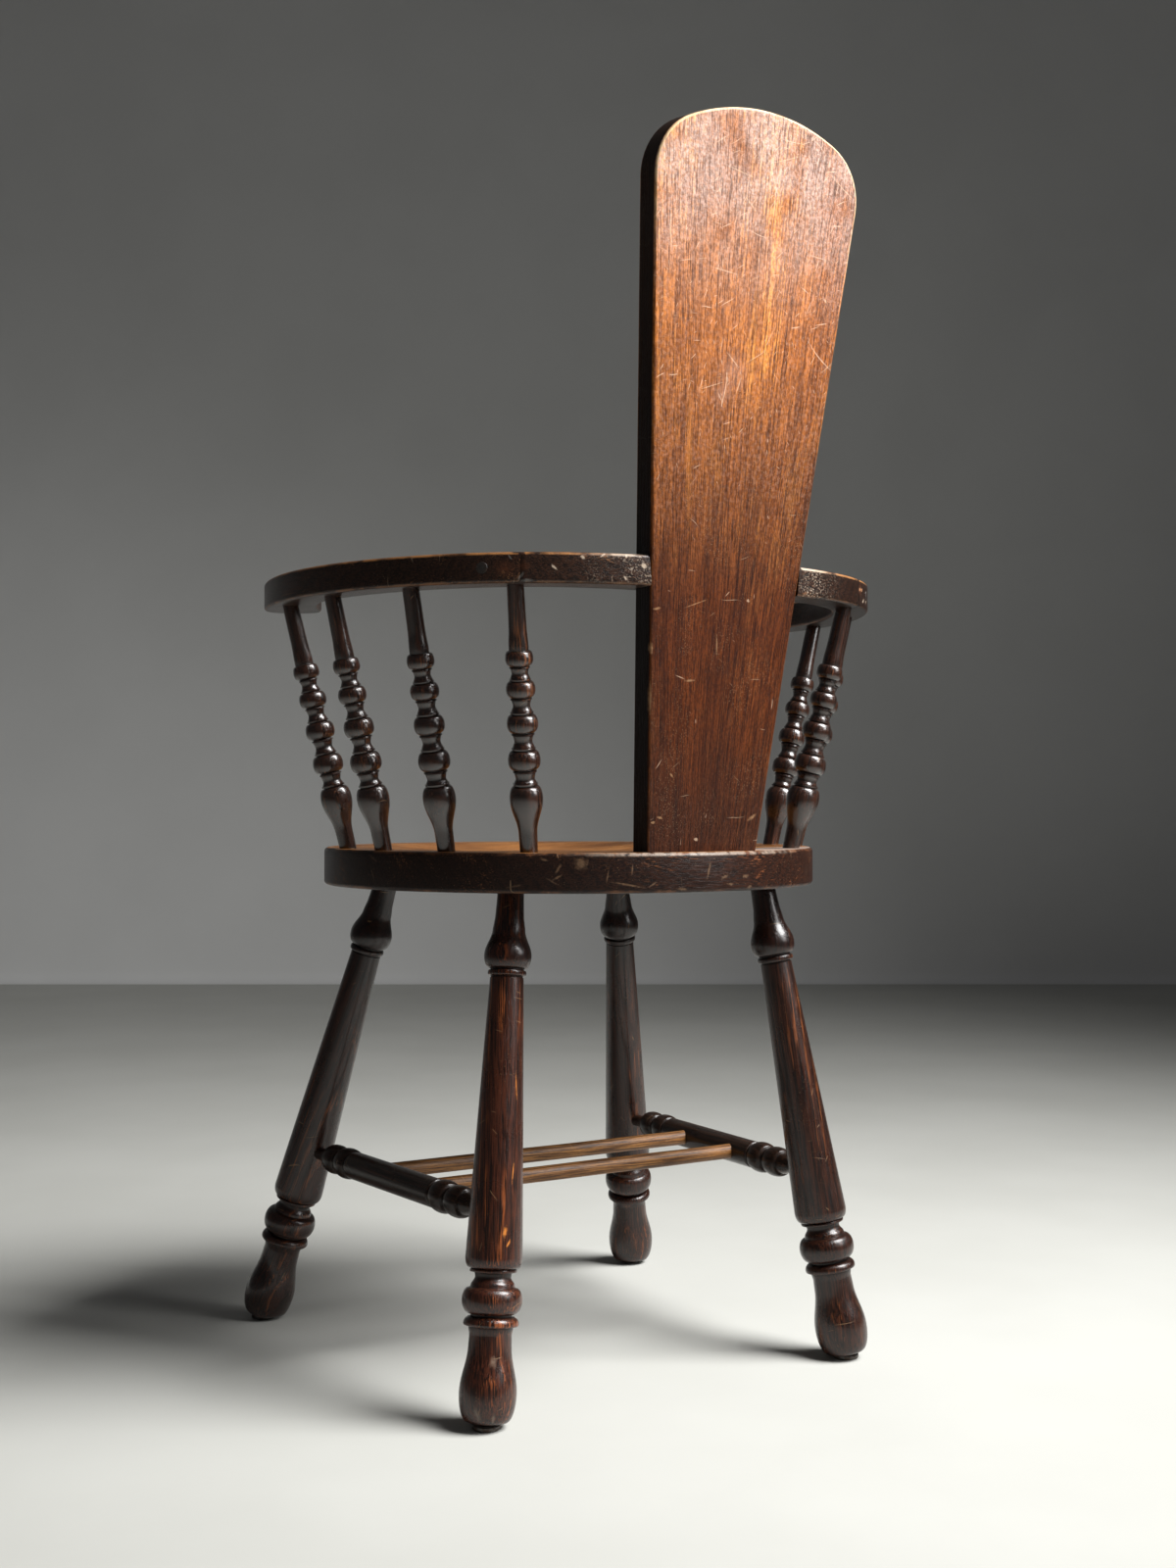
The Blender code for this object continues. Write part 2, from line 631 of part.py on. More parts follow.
def make_bow(chair, material):
    """Back rail and arms, cut to their scarf joints."""
    rail = make_object("back_rail", rail_shape(), chair, material)
    rail.location.z = BOW_UNDERSIDE
    arms = {}
    for side_name, side in SIDES.items():
        arm = make_object("arm_" + side_name, arm_shape(side), chair, material)
        arm.location.z = BOW_UNDERSIDE
        waste = make_object("scarf_waste_" + side_name, scarf_waste_shape(side), chair)
        point, normal = scarf_plane(side)
        waste.location = (point.x, point.y, BOW_UNDERSIDE)
        waste.rotation_euler.z = math.atan2(-side * normal.x, side * normal.y)
        carve(arm, waste)
        arms[side] = arm
    return rail, arms


def make_plank(frame, material, seat, rail):
    """Back plank with its tenon, the mortise in the seat and the housing in the back rail."""
    plank = make_object("back_plank", plank_shape(), frame, material)
    carve(plank, make_object("plank_tenon", plank_tenon(0, PLANK_TENON_DEPTH), frame), "UNION")
    carve(seat, make_object("plank_mortise", plank_tenon(FIT_GAP, CUTTER_REACH), frame))
    carve(rail, make_object("plank_housing", housing_shape(), frame))
    return plank


def make_leg(chair, finishes, seat, front, side, place_name):
    """One leg in its seat socket, cut level at the foot, and the glide nailed under it."""
    foot, top = leg_axis(front, side)
    length = (top - foot).length
    points = turning_points(LEG_TURNING_SHARES, length, LEG_BLANK_DIAMETER)
    points.append((LEG_TENON_DIAMETER / 2, length))
    points.append((LEG_TENON_DIAMETER / 2, length + LEG_TENON_DEPTH))
    shape = turned(points, LEG_SIDES)
    to_axis = (top - foot).to_track_quat("Z", "Y").inverted()
    floor_cut = Vector((0, 0, GLIDE_HEIGHT + FIT_GAP))
    saw_off(shape, to_axis @ floor_cut, to_axis @ Vector((0, 0, -1)))
    leg = make_object("leg_" + place_name, shape, chair, finishes["leg"])
    aim(leg, foot, top)
    carve(seat, socket(leg.name + "_socket", chair, top, top + (top - foot), LEG_TENON_DIAMETER / 2,
                       LEG_TENON_DEPTH, LEG_SIDES))

    disc = GLIDE_DIAMETER / 2
    nail = GLIDE_NAIL_DIAMETER / 2
    nail_top = GLIDE_HEIGHT + GLIDE_NAIL_LENGTH
    profile = [(disc, 0), (disc, GLIDE_HEIGHT), (nail, GLIDE_HEIGHT), (nail, nail_top)]
    glide = make_object("foot_glide_" + place_name, turned(profile, SCREW_SIDES), chair, finishes["glide"])
    hole_shape = rod_shape(nail + FIT_GAP, 0, nail_top + FIT_GAP, SCREW_SIDES)
    hole = make_object(glide.name + "_hole", hole_shape, chair)
    under_foot = leg_point(front, side, GLIDE_HEIGHT)
    for item in (glide, hole):
        item.location = (under_foot.x, under_foot.y, 0)
    carve(leg, hole)
    return leg


def make_stretcher(chair, material, side, side_name, legs):
    """One side stretcher between the two legs of its side."""
    front_end = leg_point(True, side, STRETCHER_HEIGHT)
    back_end = leg_point(False, side, STRETCHER_HEIGHT)
    length = (back_end - front_end).length
    shape = turned(stretcher_points(length), STRETCHER_SIDES)
    stretcher = make_object("side_stretcher_" + side_name, shape, chair, material)
    tenon = STRETCHER_TENON_GAP - FIT_GAP
    hole_shape = rod_shape(STRETCHER_NECK_DIAMETER / 2 + FIT_GAP, tenon, length - tenon, STRETCHER_SIDES)
    hole = make_object(stretcher.name + "_hole", hole_shape, chair)
    for item in (stretcher, hole):
        aim(item, front_end, back_end)
    for leg in legs:
        carve(leg, hole)
    return stretcher


def make_rod(chair, material, name, offset, stretchers):
    """One cross rod between the side stretchers, offset from the middle of the pair."""
    front_end = leg_point(True, 1, STRETCHER_HEIGHT)
    back_end = leg_point(False, 1, STRETCHER_HEIGHT)
    y = (front_end.y + back_end.y) / 2 + ROD_SETBACK + offset
    x = front_end.lerp(back_end, (y - front_end.y) / (back_end.y - front_end.y)).x
    radius = ROD_DIAMETER / 2
    low, high = ROD_TENON_GAP, 2 * x - ROD_TENON_GAP
    profile = [(radius - ROD_END_BEVEL, low), (radius, low + ROD_END_BEVEL),
               (radius, high - ROD_END_BEVEL), (radius - ROD_END_BEVEL, high)]
    rod = make_object(name, turned(profile, ROD_SIDES), chair, material)
    hole_shape = rod_shape(radius + FIT_GAP, low - FIT_GAP, high + FIT_GAP, ROD_SIDES)
    hole = make_object(name + "_hole", hole_shape, chair)
    for item in (rod, hole):
        aim(item, (-x, y, STRETCHER_HEIGHT), (x, y, STRETCHER_HEIGHT))
    for stretcher in stretchers:
        carve(stretcher, hole)


def make_spindle(chair, material, name, number, side, seat, bow_pieces):
    """One bobbin spindle, socketed in the seat and in the bow."""
    foot, top = spindle_axis(number, side)
    axis = top - foot
    spindle = make_object(name, turned(spindle_points(axis.length), SPINDLE_SIDES), chair, material)
    foot_shape = rod_shape(SPINDLE_FOOT_DIAMETER / 2 + FIT_GAP, -SPINDLE_FOOT_DEPTH - FIT_GAP, CUTTER_REACH,
                           SPINDLE_SIDES)
    foot_tool = make_object(name + "_foot_socket", foot_shape, chair)
    for item in (spindle, foot_tool):
        aim(item, foot, top)
    carve(seat, foot_tool)
    top_tool = socket(name + "_top_socket", chair, top, top + axis, SPINDLE_TENON_DIAMETER / 2,
                      SPINDLE_TENON_DEPTH, SPINDLE_SIDES)
    for piece in bow_pieces:
        carve(piece, top_tool)


def make_scarf_fixing(chair, finishes, side, side_name, arm, rail):
    """The screw that holds one scarf joint, and the wooden plug over its head."""
    outer = bow_point(PLUG_ANGLE, bow_outer(PLUG_ANGLE))
    start = Vector((side * outer.x, outer.y, BOW_MIDDLE_Z))
    inwards = (Vector((0, BOW_CENTRE_Y, BOW_MIDDLE_Z)) - start).normalized()
    plug_shape = rod_shape(PLUG_DIAMETER / 2, -PLUG_PROUD, PLUG_LENGTH, SCREW_SIDES)
    plug = make_object("scarf_plug_" + side_name, plug_shape, chair, finishes["plug"])
    aim(plug, start, start + inwards)
    carve(arm, socket(plug.name + "_hole", chair, start, start + inwards, PLUG_DIAMETER / 2, PLUG_LENGTH,
                      SCREW_SIDES))
    head = start + inwards * (PLUG_LENGTH + FIT_GAP)
    screw("scarf_screw_" + side_name, chair, head, head + inwards, SCARF_SCREW_LENGTH, finishes["screw"],
          (arm, rail))


def make_plank_screws(frame, material, side, side_name, plank, seat, rail):
    """The rail screw and the seat screw on one side of the plank, in the plank's frame."""
    slope = math.cos(PLANK_RECLINE)
    head = Vector((side * RAIL_SCREW_X, -PLANK_THICKNESS - RAIL_SCREW_GRIP - SCREW_HEAD_HEIGHT,
                   (BOW_MIDDLE_Z - SEAT_TOP) / slope))
    screw("rail_screw_" + side_name, frame, head, head + Vector((0, 1, 0)), RAIL_SCREW_LENGTH, material,
          (rail, plank))
    underside = -(SEAT_THICKNESS + PLANK_THICKNESS / 2 * math.sin(PLANK_RECLINE)) / slope
    head = Vector((side * SEAT_SCREW_X, -PLANK_THICKNESS / 2, underside + SEAT_SCREW_RECESS))
    screw("seat_screw_" + side_name, frame, head, head + Vector((0, 0, 1)), SEAT_SCREW_LENGTH, material,
          (seat, plank))


def centre_on_origin(chair):
    """Moves the chair so that the origin is under the middle of its depth."""
    bpy.context.view_layer.update()
    graph = bpy.context.evaluated_depsgraph_get()
    depths = []
    for piece in bpy.data.objects:
        if piece.type == "MESH" and not piece.hide_render:
            solid = piece.evaluated_get(graph)
            depths += [(piece.matrix_world @ vertex.co).y for vertex in solid.data.vertices]
    chair.location.y = -(min(depths) + max(depths)) / 2
    bpy.context.view_layer.update()
    print("chair moved in y by", round(chair.location.y, 5))


def build():
    """Makes every piece of the chair, cuts the joints and centres the whole on the origin."""
    for old in list(bpy.data.objects):
        bpy.data.objects.remove(old, do_unlink=True)
    finishes = make_finishes()
    chair = empty("chair")
    plank_frame = empty("plank_frame", chair, (0, PLANK_BACK_Y, SEAT_TOP), (-PLANK_RECLINE, 0, 0))
    seat = make_object("seat_board", seat_shape(), chair, finishes["seat"])
    rail, arms = make_bow(chair, finishes["bow"])
    plank = make_plank(plank_frame, finishes["plank"], seat, rail)
    stretchers = []
    for side_name, side in SIDES.items():
        legs = [make_leg(chair, finishes, seat, True, side, "front_" + side_name),
                make_leg(chair, finishes, seat, False, side, "back_" + side_name)]
        stretchers.append(make_stretcher(chair, finishes["stretcher"], side, side_name, legs))
        for number in range(SPINDLES_PER_SIDE):
            name = f"spindle_{side_name}_{number + 1}"
            make_spindle(chair, finishes["spindle"], name, number, side, seat, (rail, arms[side]))
        make_scarf_fixing(chair, finishes, side, side_name, arms[side], rail)
        make_plank_screws(plank_frame, finishes["screw"], side, side_name, plank, seat, rail)
    for name, offset in (("cross_rod_front", -ROD_SPREAD / 2), ("cross_rod_back", ROD_SPREAD / 2)):
        make_rod(chair, finishes["rod"], name, offset, stretchers)
    centre_on_origin(chair)


build()
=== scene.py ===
# %% [markdown]
# # A bobbin armchair
#
# The chair is turned and sawn wood: a round seat on four splayed legs, eight bobbin spindles under a
# bent arm bow, and a tall plank that stands on the seat and leans back through the bow. A plain CAD
# model of it gives every place and size. This lesson models each piece again over that model, with the
# fine turning and the rounded edges of the real chair, then gives it an old, worn varnish built only
# from shader nodes.

import math

import bpy
import numpy as np
from mathutils import Matrix, Vector, noise


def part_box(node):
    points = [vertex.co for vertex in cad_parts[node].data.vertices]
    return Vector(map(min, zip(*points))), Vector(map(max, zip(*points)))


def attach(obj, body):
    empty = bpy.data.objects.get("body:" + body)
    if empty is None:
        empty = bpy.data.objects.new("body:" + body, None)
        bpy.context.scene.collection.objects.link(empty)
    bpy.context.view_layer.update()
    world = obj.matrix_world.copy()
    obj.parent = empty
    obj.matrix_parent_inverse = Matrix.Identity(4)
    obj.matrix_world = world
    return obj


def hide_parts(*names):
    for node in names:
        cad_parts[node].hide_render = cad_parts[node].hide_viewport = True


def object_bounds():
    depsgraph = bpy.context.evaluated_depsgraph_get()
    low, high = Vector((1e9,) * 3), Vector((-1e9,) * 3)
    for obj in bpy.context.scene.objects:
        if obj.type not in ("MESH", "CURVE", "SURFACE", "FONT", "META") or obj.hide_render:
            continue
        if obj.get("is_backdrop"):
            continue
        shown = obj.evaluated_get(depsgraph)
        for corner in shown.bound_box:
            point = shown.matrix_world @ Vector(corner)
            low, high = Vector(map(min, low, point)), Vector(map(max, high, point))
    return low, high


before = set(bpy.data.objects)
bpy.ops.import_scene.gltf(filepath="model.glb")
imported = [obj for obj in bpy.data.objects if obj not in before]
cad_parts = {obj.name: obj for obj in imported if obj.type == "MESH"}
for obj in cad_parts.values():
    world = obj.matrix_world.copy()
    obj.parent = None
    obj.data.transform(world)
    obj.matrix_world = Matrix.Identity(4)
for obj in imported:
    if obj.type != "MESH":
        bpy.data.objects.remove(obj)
scene = bpy.context.scene
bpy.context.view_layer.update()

# %% [markdown]
# ## Where things are
#
# The seat is the piece that all others are set out from. Its box gives the middle of the chair and the
# height of the sitting face. The bow's underside, where the spindles end, comes from an arm's box.
# These sizes could be written down once more, but read from the frame they can't drift away from the
# model.

# %% Main levels
seat_low, seat_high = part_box("seat_board")
SEAT_TOP = seat_high.z
SEAT_UNDERSIDE = seat_low.z
SEAT_THICKNESS = SEAT_TOP - SEAT_UNDERSIDE
SEAT_RADIUS = (seat_high.x - seat_low.x) / 2
SEAT_Y = (seat_low.y + seat_high.y) / 2
arm_low, arm_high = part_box("arm_left")
BOW_UNDERSIDE = arm_low.z
BOW_THICKNESS = arm_high.z - arm_low.z
print(f"seat {2000 * SEAT_RADIUS:.0f} mm across and {1000 * SEAT_TOP:.0f} mm high")
print(f"bow {1000 * BOW_THICKNESS:.1f} mm thick, its underside {1000 * BOW_UNDERSIDE:.0f} mm high")

# %% [markdown]
# ## Camera
#
# The photograph looks at the chair's back from a little to one side, at about seat height. The values
# below were solved from the photograph: they bring the seat's rim, the feet and the plank to the same
# places in the picture. The camera's own X axis becomes "right" and its level forward direction becomes
# "away", and the floor and the lights are set out with these two.

# %% Set up the camera
CAMERA_PLACE = Vector((0.8768, 1.4213, 0.4854))
CAMERA_YAW = math.radians(31.676)
CAMERA_PITCH = math.radians(0.54)
CAMERA_LENS = 43.09
SENSOR_WIDTH = 36.0

camera_data = bpy.data.cameras.new("photo_camera")
camera_data.sensor_width = SENSOR_WIDTH
camera_data.lens = CAMERA_LENS
camera = bpy.data.objects.new("photo_camera", camera_data)
camera.location = CAMERA_PLACE
camera.rotation_euler = (math.pi / 2 + CAMERA_PITCH, 0, math.pi - CAMERA_YAW)
scene.collection.objects.link(camera)
scene.camera = camera
scene.view_settings.view_transform = "Standard"
right = Vector((-math.cos(CAMERA_YAW), math.sin(CAMERA_YAW), 0))
away = Vector((-math.sin(CAMERA_YAW), -math.cos(CAMERA_YAW), 0))
print(f"camera {CAMERA_PLACE.xy.length:.2f} m from the chair's middle, lens {CAMERA_LENS} mm")

# %% [markdown]
# ## Shaders from short lines
#
# A shader is a tree of nodes and links. Written node by node, a finish takes pages and its idea is
# lost. So a small class stands for the output of a node: a sign between two wires adds the node for
# that sum, and the tree is found from the wires themselves. `put` adds any other node, feeds it and
# hands back its output.

# %% Wires and nodes
class Wire:
    """The output of a node. A sign between wires, or between a wire and a number, adds a node."""

    def __init__(self, socket):
        self.socket = socket

    def __add__(self, other):
        return calc("ADD", self, other)

    def __sub__(self, other):
        return calc("SUBTRACT", self, other)

    def __rsub__(self, other):
        return calc("SUBTRACT", other, self)

    def __mul__(self, other):
        return calc("MULTIPLY", self, other)

    def __truediv__(self, other):
        return calc("DIVIDE", self, other)

    def __rtruediv__(self, other):
        return calc("DIVIDE", other, self)


def tree_of(*values):
    """The tree that the wires among some values belong to."""
    return next(value.socket.id_data for value in values if isinstance(value, Wire))


def put(tree, kind, feeds=None, gives=0, **settings):
    """Adds a node, sets its properties and feeds its inputs with values or wires. Hands back the output
    that gives names, or a list of them."""
    made = tree.nodes.new("ShaderNode" + kind)
    for label, value in settings.items():
        setattr(made, label, value)
    for socket, value in (feeds or {}).items():
        if isinstance(value, Wire):
            tree.links.new(value.socket, made.inputs[socket])
        else:
            made.inputs[socket].default_value = value
    if isinstance(gives, tuple):
        return [Wire(made.outputs[label]) for label in gives]
    return Wire(made.outputs[gives]) if len(made.outputs) else None


def calc(operation, *values):
    """One sum on numbers."""
    return put(tree_of(*values), "Math", dict(enumerate(values)), operation=operation)


def vector(operation, *values):
    """One sum on vectors."""
    return put(tree_of(*values), "VectorMath", dict(enumerate(values)), operation=operation)


print("wires and nodes ready")

# %% [markdown]
# ## Coordinates
#
# Every pattern is a question about a place on the piece. These helpers take a place apart into its
# coordinates, put one together, turn it and stretch it. Each stands for one of Blender's vector nodes,
# and a short name keeps the sums of a finish readable.

# %% Coordinate helpers
def split(place):
    """The three coordinates of a place."""
    return put(tree_of(place), "SeparateXYZ", {0: place}, ("X", "Y", "Z"))


def combine(x, y, z):
    """A place from three coordinates."""
    return put(tree_of(x, y, z), "CombineXYZ", {0: x, 1: y, 2: z})


def turned(place, angle, axis):
    """A place turned about the X, Y or Z axis."""
    feeds = {"Vector": place, "Angle": angle}
    return put(tree_of(place), "VectorRotate", feeds, rotation_type=f"{axis}_AXIS")


def scaled(place, factor):
    """A place moved towards the origin or away from it."""
    return put(tree_of(place), "VectorMath", {0: place, "Scale": factor}, operation="SCALE")


def span(line):
    """How long a vector is."""
    return put(tree_of(line), "VectorMath", {0: line}, "Value", operation="LENGTH")


print("coordinate helpers ready")

# %% [markdown]
# ## Patterns, masks and colours
#
# Most layers of a finish follow one recipe: a pattern, a threshold that makes it a mask, and a colour
# laid on through the mask. `cloud` and `jostle` are noise, `ease` and `fade` are soft thresholds, `tint`
# lays on the colour and `dyed` multiplies by it. A colour ramp node could do all three steps, but its
# stops can't be read as easily as two numbers.

# %% Layer helpers
def ease(value, low, high):
    """0 below low, 1 above high and smooth between."""
    feeds = {"Value": value, "From Min": low, "From Max": high}
    return put(tree_of(value), "MapRange", feeds, interpolation_type="SMOOTHSTEP")


def fade(value, low, high):
    """1 below low, 0 above high and smooth between."""
    return 1.0 - ease(value, low, high)


def cloud(place, scale, detail, stretch=(1, 1, 1)):
    """Noise from 0 to 1 with features of about 1 / scale metres. A stretch under 1 draws it out along that
    axis."""
    feeds = {"Vector": vector("MULTIPLY", place, stretch), "Scale": scale, "Detail": detail}
    return put(tree_of(place), "TexNoise", feeds)


def jostle(place, scale, detail):
    """Vector noise about zero, for coordinates that wander."""
    feeds = {"Vector": place, "Scale": scale, "Detail": detail}
    return vector("SUBTRACT", put(tree_of(place), "TexNoise", feeds, 1), (0.5, 0.5, 0.5))


def tint(mask, under, over, share=1.0, way="MIX"):
    """Lays one colour over another where the mask is 1, by the share."""
    strength = mask if share == 1.0 else mask * share
    feeds = {0: strength, 6: under, 7: over}
    return put(tree_of(strength, under, over), "Mix", feeds, 2, data_type="RGBA", blend_type=way)


def dyed(colour, dye):
    """A colour multiplied by another."""
    return tint(1.0, colour, dye, way="MULTIPLY")


def rgb(red, green, blue):
    """A colour with its alpha."""
    return (red, green, blue, 1.0)


print("layer helpers ready")

# %% [markdown]
# ## Effects as groups
#
# Grain, wear and scratches are the same on every piece and differ only in amount. Each is therefore a
# node group: a tree of its own with named inputs and outputs, made once and placed in each material
# with that piece's values. A copy of the nodes in every material would look the same, but a change
# would have to be made many times.

# %% Group helpers
ANY_PLACE = (0, 0, 0)


def new_group(name, takes, gives):
    """Starts a node group. takes maps each input to its starting value, and gives lists the outputs. Hands
    back the group, its inputs as wires and a function that feeds an output."""
    group = bpy.data.node_groups.new(name, "ShaderNodeTree")
    for label, value in takes.items():
        kind = "NodeSocketVector" if isinstance(value, tuple) else "NodeSocketFloat"
        group.interface.new_socket(label, in_out="INPUT", socket_type=kind).default_value = value
    for label in gives:
        group.interface.new_socket(label, in_out="OUTPUT", socket_type="NodeSocketFloat")
    inlet = group.nodes.new("NodeGroupInput")
    outlet = group.nodes.new("NodeGroupOutput")

    def give(label, wire):
        group.links.new(wire.socket, outlet.inputs[label])

    return group, {label: Wire(inlet.outputs[label]) for label in takes}, give


def use(group, **feeds):
    """Places a group where its feeds are and hands back its outputs by name. Underscores in the names of
    inputs stand for spaces."""
    named = {label.replace("_", " "): value for label, value in feeds.items()}
    labels = tuple(item.name for item in group.interface.items_tree if item.in_out == "OUTPUT")
    return dict(zip(labels, put(tree_of(*feeds.values()), "Group", named, labels, node_tree=group)))


print("group helpers ready")

# %% [markdown]
# ## Wood grain
#
# A tree grows a ring each year, so a board or a turned leg is cut from a nest of long tubes. Distance
# from the heart line, divided by the ring width, rises by one at each ring, and its fraction is a
# saw-tooth that darkens through each year's growth and then starts afresh. A wave texture could draw
# such stripes too, but rings in space show as arches and V shapes by themselves where a taper cuts
# them. The coordinates wander a little so that no ring is perfectly round. Streaks and pores are noise
# that is drawn out along the grain.

# %% Grain group
grain_inputs = {"Place": ANY_PLACE, "Ring Width": 0.005, "Wander": 0.006}
grain_group, take, give = new_group("wood_grain", grain_inputs, ("Rings", "Streaks", "Pores"))
drift = jostle(vector("MULTIPLY", take["Place"], (9, 9, 1.8)), 1.0, 2)
wandered = vector("ADD", take["Place"], scaled(drift, take["Wander"]))
from_heart = span(vector("MULTIPLY", wandered, (1, 1, 0)))
streaks = cloud(wandered, 900, 3, (1, 1, 0.03))
give("Rings", calc("FRACT", streaks * 0.35 + from_heart / take["Ring Width"]))
give("Streaks", ease(streaks, 0.3, 0.7))
give("Pores", ease(cloud(take["Place"], 1050, 2, (1, 1, 0.06)), 0.55, 0.62))
print("wood_grain:", len(grain_group.nodes), "nodes")

# %% [markdown]
# ## Worn stain
#
# The stain sits in the surface, and years of hands and shoes rub it away: first where the shape stands
# proud, then in patches that follow the grain. One noise alone would give blots that ignore the wood.
# So the mask adds a wide noise, a close one, the streaks, the rings and the proud attribute of the
# mesh, and a threshold turns the sum into worn and unworn wood.

# %% Wear group
wear_inputs = {"Place": ANY_PLACE, "Rings": 0.5, "Streaks": 0.5, "Proud": 0.0, "Amount": 0.3}
wear_group, take, give = new_group("worn_stain", wear_inputs, ("Mask",))
wide = cloud(take["Place"], 26, 3, (1, 1, 0.3))
close = cloud(take["Place"], 150, 3, (1, 1, 0.35))
total = take["Amount"]
for part, weight in ((wide, 1.3), (close, 0.5), (take["Streaks"], 0.42), (take["Rings"], 0.3)):
    total = total + (part - 0.5) * weight
total = total + calc("MAXIMUM", take["Proud"], 0.0) * 0.3
give("Mask", ease(total, 0.4, 0.8))
print("worn_stain:", len(wear_group.nodes), "nodes")

# %% [markdown]
# ## Rubbed and chipped edges
#
# An arris loses its varnish along its whole length and loses chips of wood here and there. A bevel node
# could find the edges while rendering, but it is slow and treats all of them alike. The proud attribute
# of the mesh is 1 on the arris instead, and noise breaks it up: a low threshold gives the rubbed line
# and a high one the chips.

# %% Edge group
edge_inputs = {"Place": ANY_PLACE, "Proud": 0.0, "Rub": 0.5, "Chips": 0.4}
edge_group, take, give = new_group("rubbed_edges", edge_inputs, ("Rubbed", "Chipped"))
soft = cloud(take["Place"], 60, 4)
sharp = cloud(take["Place"], 190, 4, (1, 1, 0.7))
give("Rubbed", ease(take["Proud"] * (soft + take["Rub"]), 0.66, 0.91))
give("Chipped", ease(take["Proud"] * (sharp + take["Chips"]), 0.86, 0.94))
print("rubbed_edges:", len(edge_group.nodes), "nodes")

# %% [markdown]
# ## Scratches
#
# A scratch is a short line at a place and an angle of its own. Stretched noise would make all of them
# lie the same way. Voronoi cells give each scratch its own place: the cell's centre is subtracted from
# the point, the rest is turned by a random angle, and a thin strip round zero is the line. Each cell
# has three random numbers. They decide whether it has a scratch at all, how that scratch lies, and how
# long it is. A slow noise bends the coordinates first, so few scratches are quite straight.

# %% Scratch group
scratch_inputs = {"Place": ANY_PLACE, "Spacing": 0.02, "Width": 0.0003, "Share": 0.3}
scratch_group, take, give = new_group("scratches", scratch_inputs, ("Mask",))
bend = vector("MULTIPLY", jostle(take["Place"], 30, 1), (0.01, 0.01, 0.01))
cells = scaled(vector("ADD", take["Place"], bend), 1.0 / take["Spacing"])
middle, chance, gap = put(scratch_group, "TexVoronoi", {"Vector": cells, "Scale": 1.0},
                          ("Position", "Color", "Distance"))
luck, lean, reach = put(scratch_group, "SeparateColor", {0: chance}, (0, 1, 2))
leaned = turned(vector("SUBTRACT", cells, middle), lean * math.pi, "Y")
across = calc("ABSOLUTE", split(leaned)[0]) * take["Spacing"]
line = fade(across, take["Width"] * 0.4, take["Width"])
chosen = calc("LESS_THAN", luck, take["Share"])
give("Mask", line * chosen * fade(gap, 0.1, reach * 0.4 + 0.18))
print("scratches:", len(scratch_group.nodes), "nodes")

# %% [markdown]
# ## Crackled varnish
#
# Old varnish shrinks into a skin of tiny plates and gathers fine dust. Seen against the light it
# sparkles. Plates that small can't be modelled, so they are a height for a bump: cell borders give
# their edges and noise roughens them. A second output picks out the specks of dust.

# %% Crackle group
crackle_inputs = {"Place": ANY_PLACE, "Size": 0.0016, "Dust": 0.3}
crackle_group, take, give = new_group("crackled_varnish", crackle_inputs, ("Height", "Specks"))
plate_cells = {"Vector": take["Place"], "Scale": 1.0 / take["Size"]}
uneven = put(crackle_group, "TexNoise", {**plate_cells, "Detail": 3.0})
plates = put(crackle_group, "TexVoronoi", plate_cells, feature="DISTANCE_TO_EDGE")
give("Height", ease(plates, 0.0, 0.2) * 0.5 + uneven)
gap, chance = put(crackle_group, "TexVoronoi", plate_cells, ("Distance", "Color"))
picked = calc("LESS_THAN", put(crackle_group, "SeparateColor", {0: chance}, 1), take["Dust"])
drifts = ease(cloud(take["Place"], 24, 3), 0.42, 0.68)
give("Specks", picked * fade(gap, 0.12, 0.34) * drifts)
print("crackled_varnish:", len(crackle_group.nodes), "nodes")

# %% [markdown]
# ## Single marks
#
# Some dings are large enough to know one by one. They could be painted on an image, but the lesson uses
# none. A mark is a soft ellipse with a ragged border at a given place on a face that is drawn with X
# across and Z up. Its Lean, from Z towards X, turns it in that face, so a long thin one is a single
# scratch. Soft sets how gently it fades towards its border.

# %% Mark group
mark_inputs = {"Place": ANY_PLACE, "Centre": ANY_PLACE, "Size": (0.01, 0.01, 0.01), "Lean": 0.0,
               "Soft": 0.4}
mark_group, take, give = new_group("single_mark", mark_inputs, ("Mask",))
leaned = turned(vector("SUBTRACT", take["Place"], take["Centre"]), take["Lean"] * -1.0, "Y")
from_middle = span(vector("DIVIDE", leaned, take["Size"]))
ragged = from_middle + (cloud(take["Place"], 420, 3) - 0.5) * 1.3
give("Mask", fade(ragged, 1.0 - take["Soft"], 1.0))
print("single_mark:", len(mark_group.nodes), "nodes")


def lay_marks(face, colour, marks):
    """Lays single marks over a colour. Each has a place and half sizes in mm, a lean in degrees and a kind,
    which is its colour, how strong it is and how soft."""
    for across, up, half_width, half_height, lean, (shade, strength, soft) in marks:
        mark = use(mark_group, Place=face, Centre=(across / 1000, 0, up / 1000),
                   Size=(half_width / 1000, 1.0, half_height / 1000), Lean=math.radians(lean), Soft=soft)
        colour = tint(mark["Mask"], colour, shade, strength)
    return colour

# %% [markdown]
# ## Paint for floor and backdrop
#
# The chair stands on a plain pale floor that meets a grey wall. Both are matt paint with very slight
# clouds. A mix with a transparent shader shows only the upper side, so the chair can also be looked at
# from below.

# %% Paint
def new_material(name):
    """A material with an empty tree, and that tree."""
    material = bpy.data.materials.new(name)
    material.use_nodes = True
    material.node_tree.nodes.clear()
    return material, material.node_tree


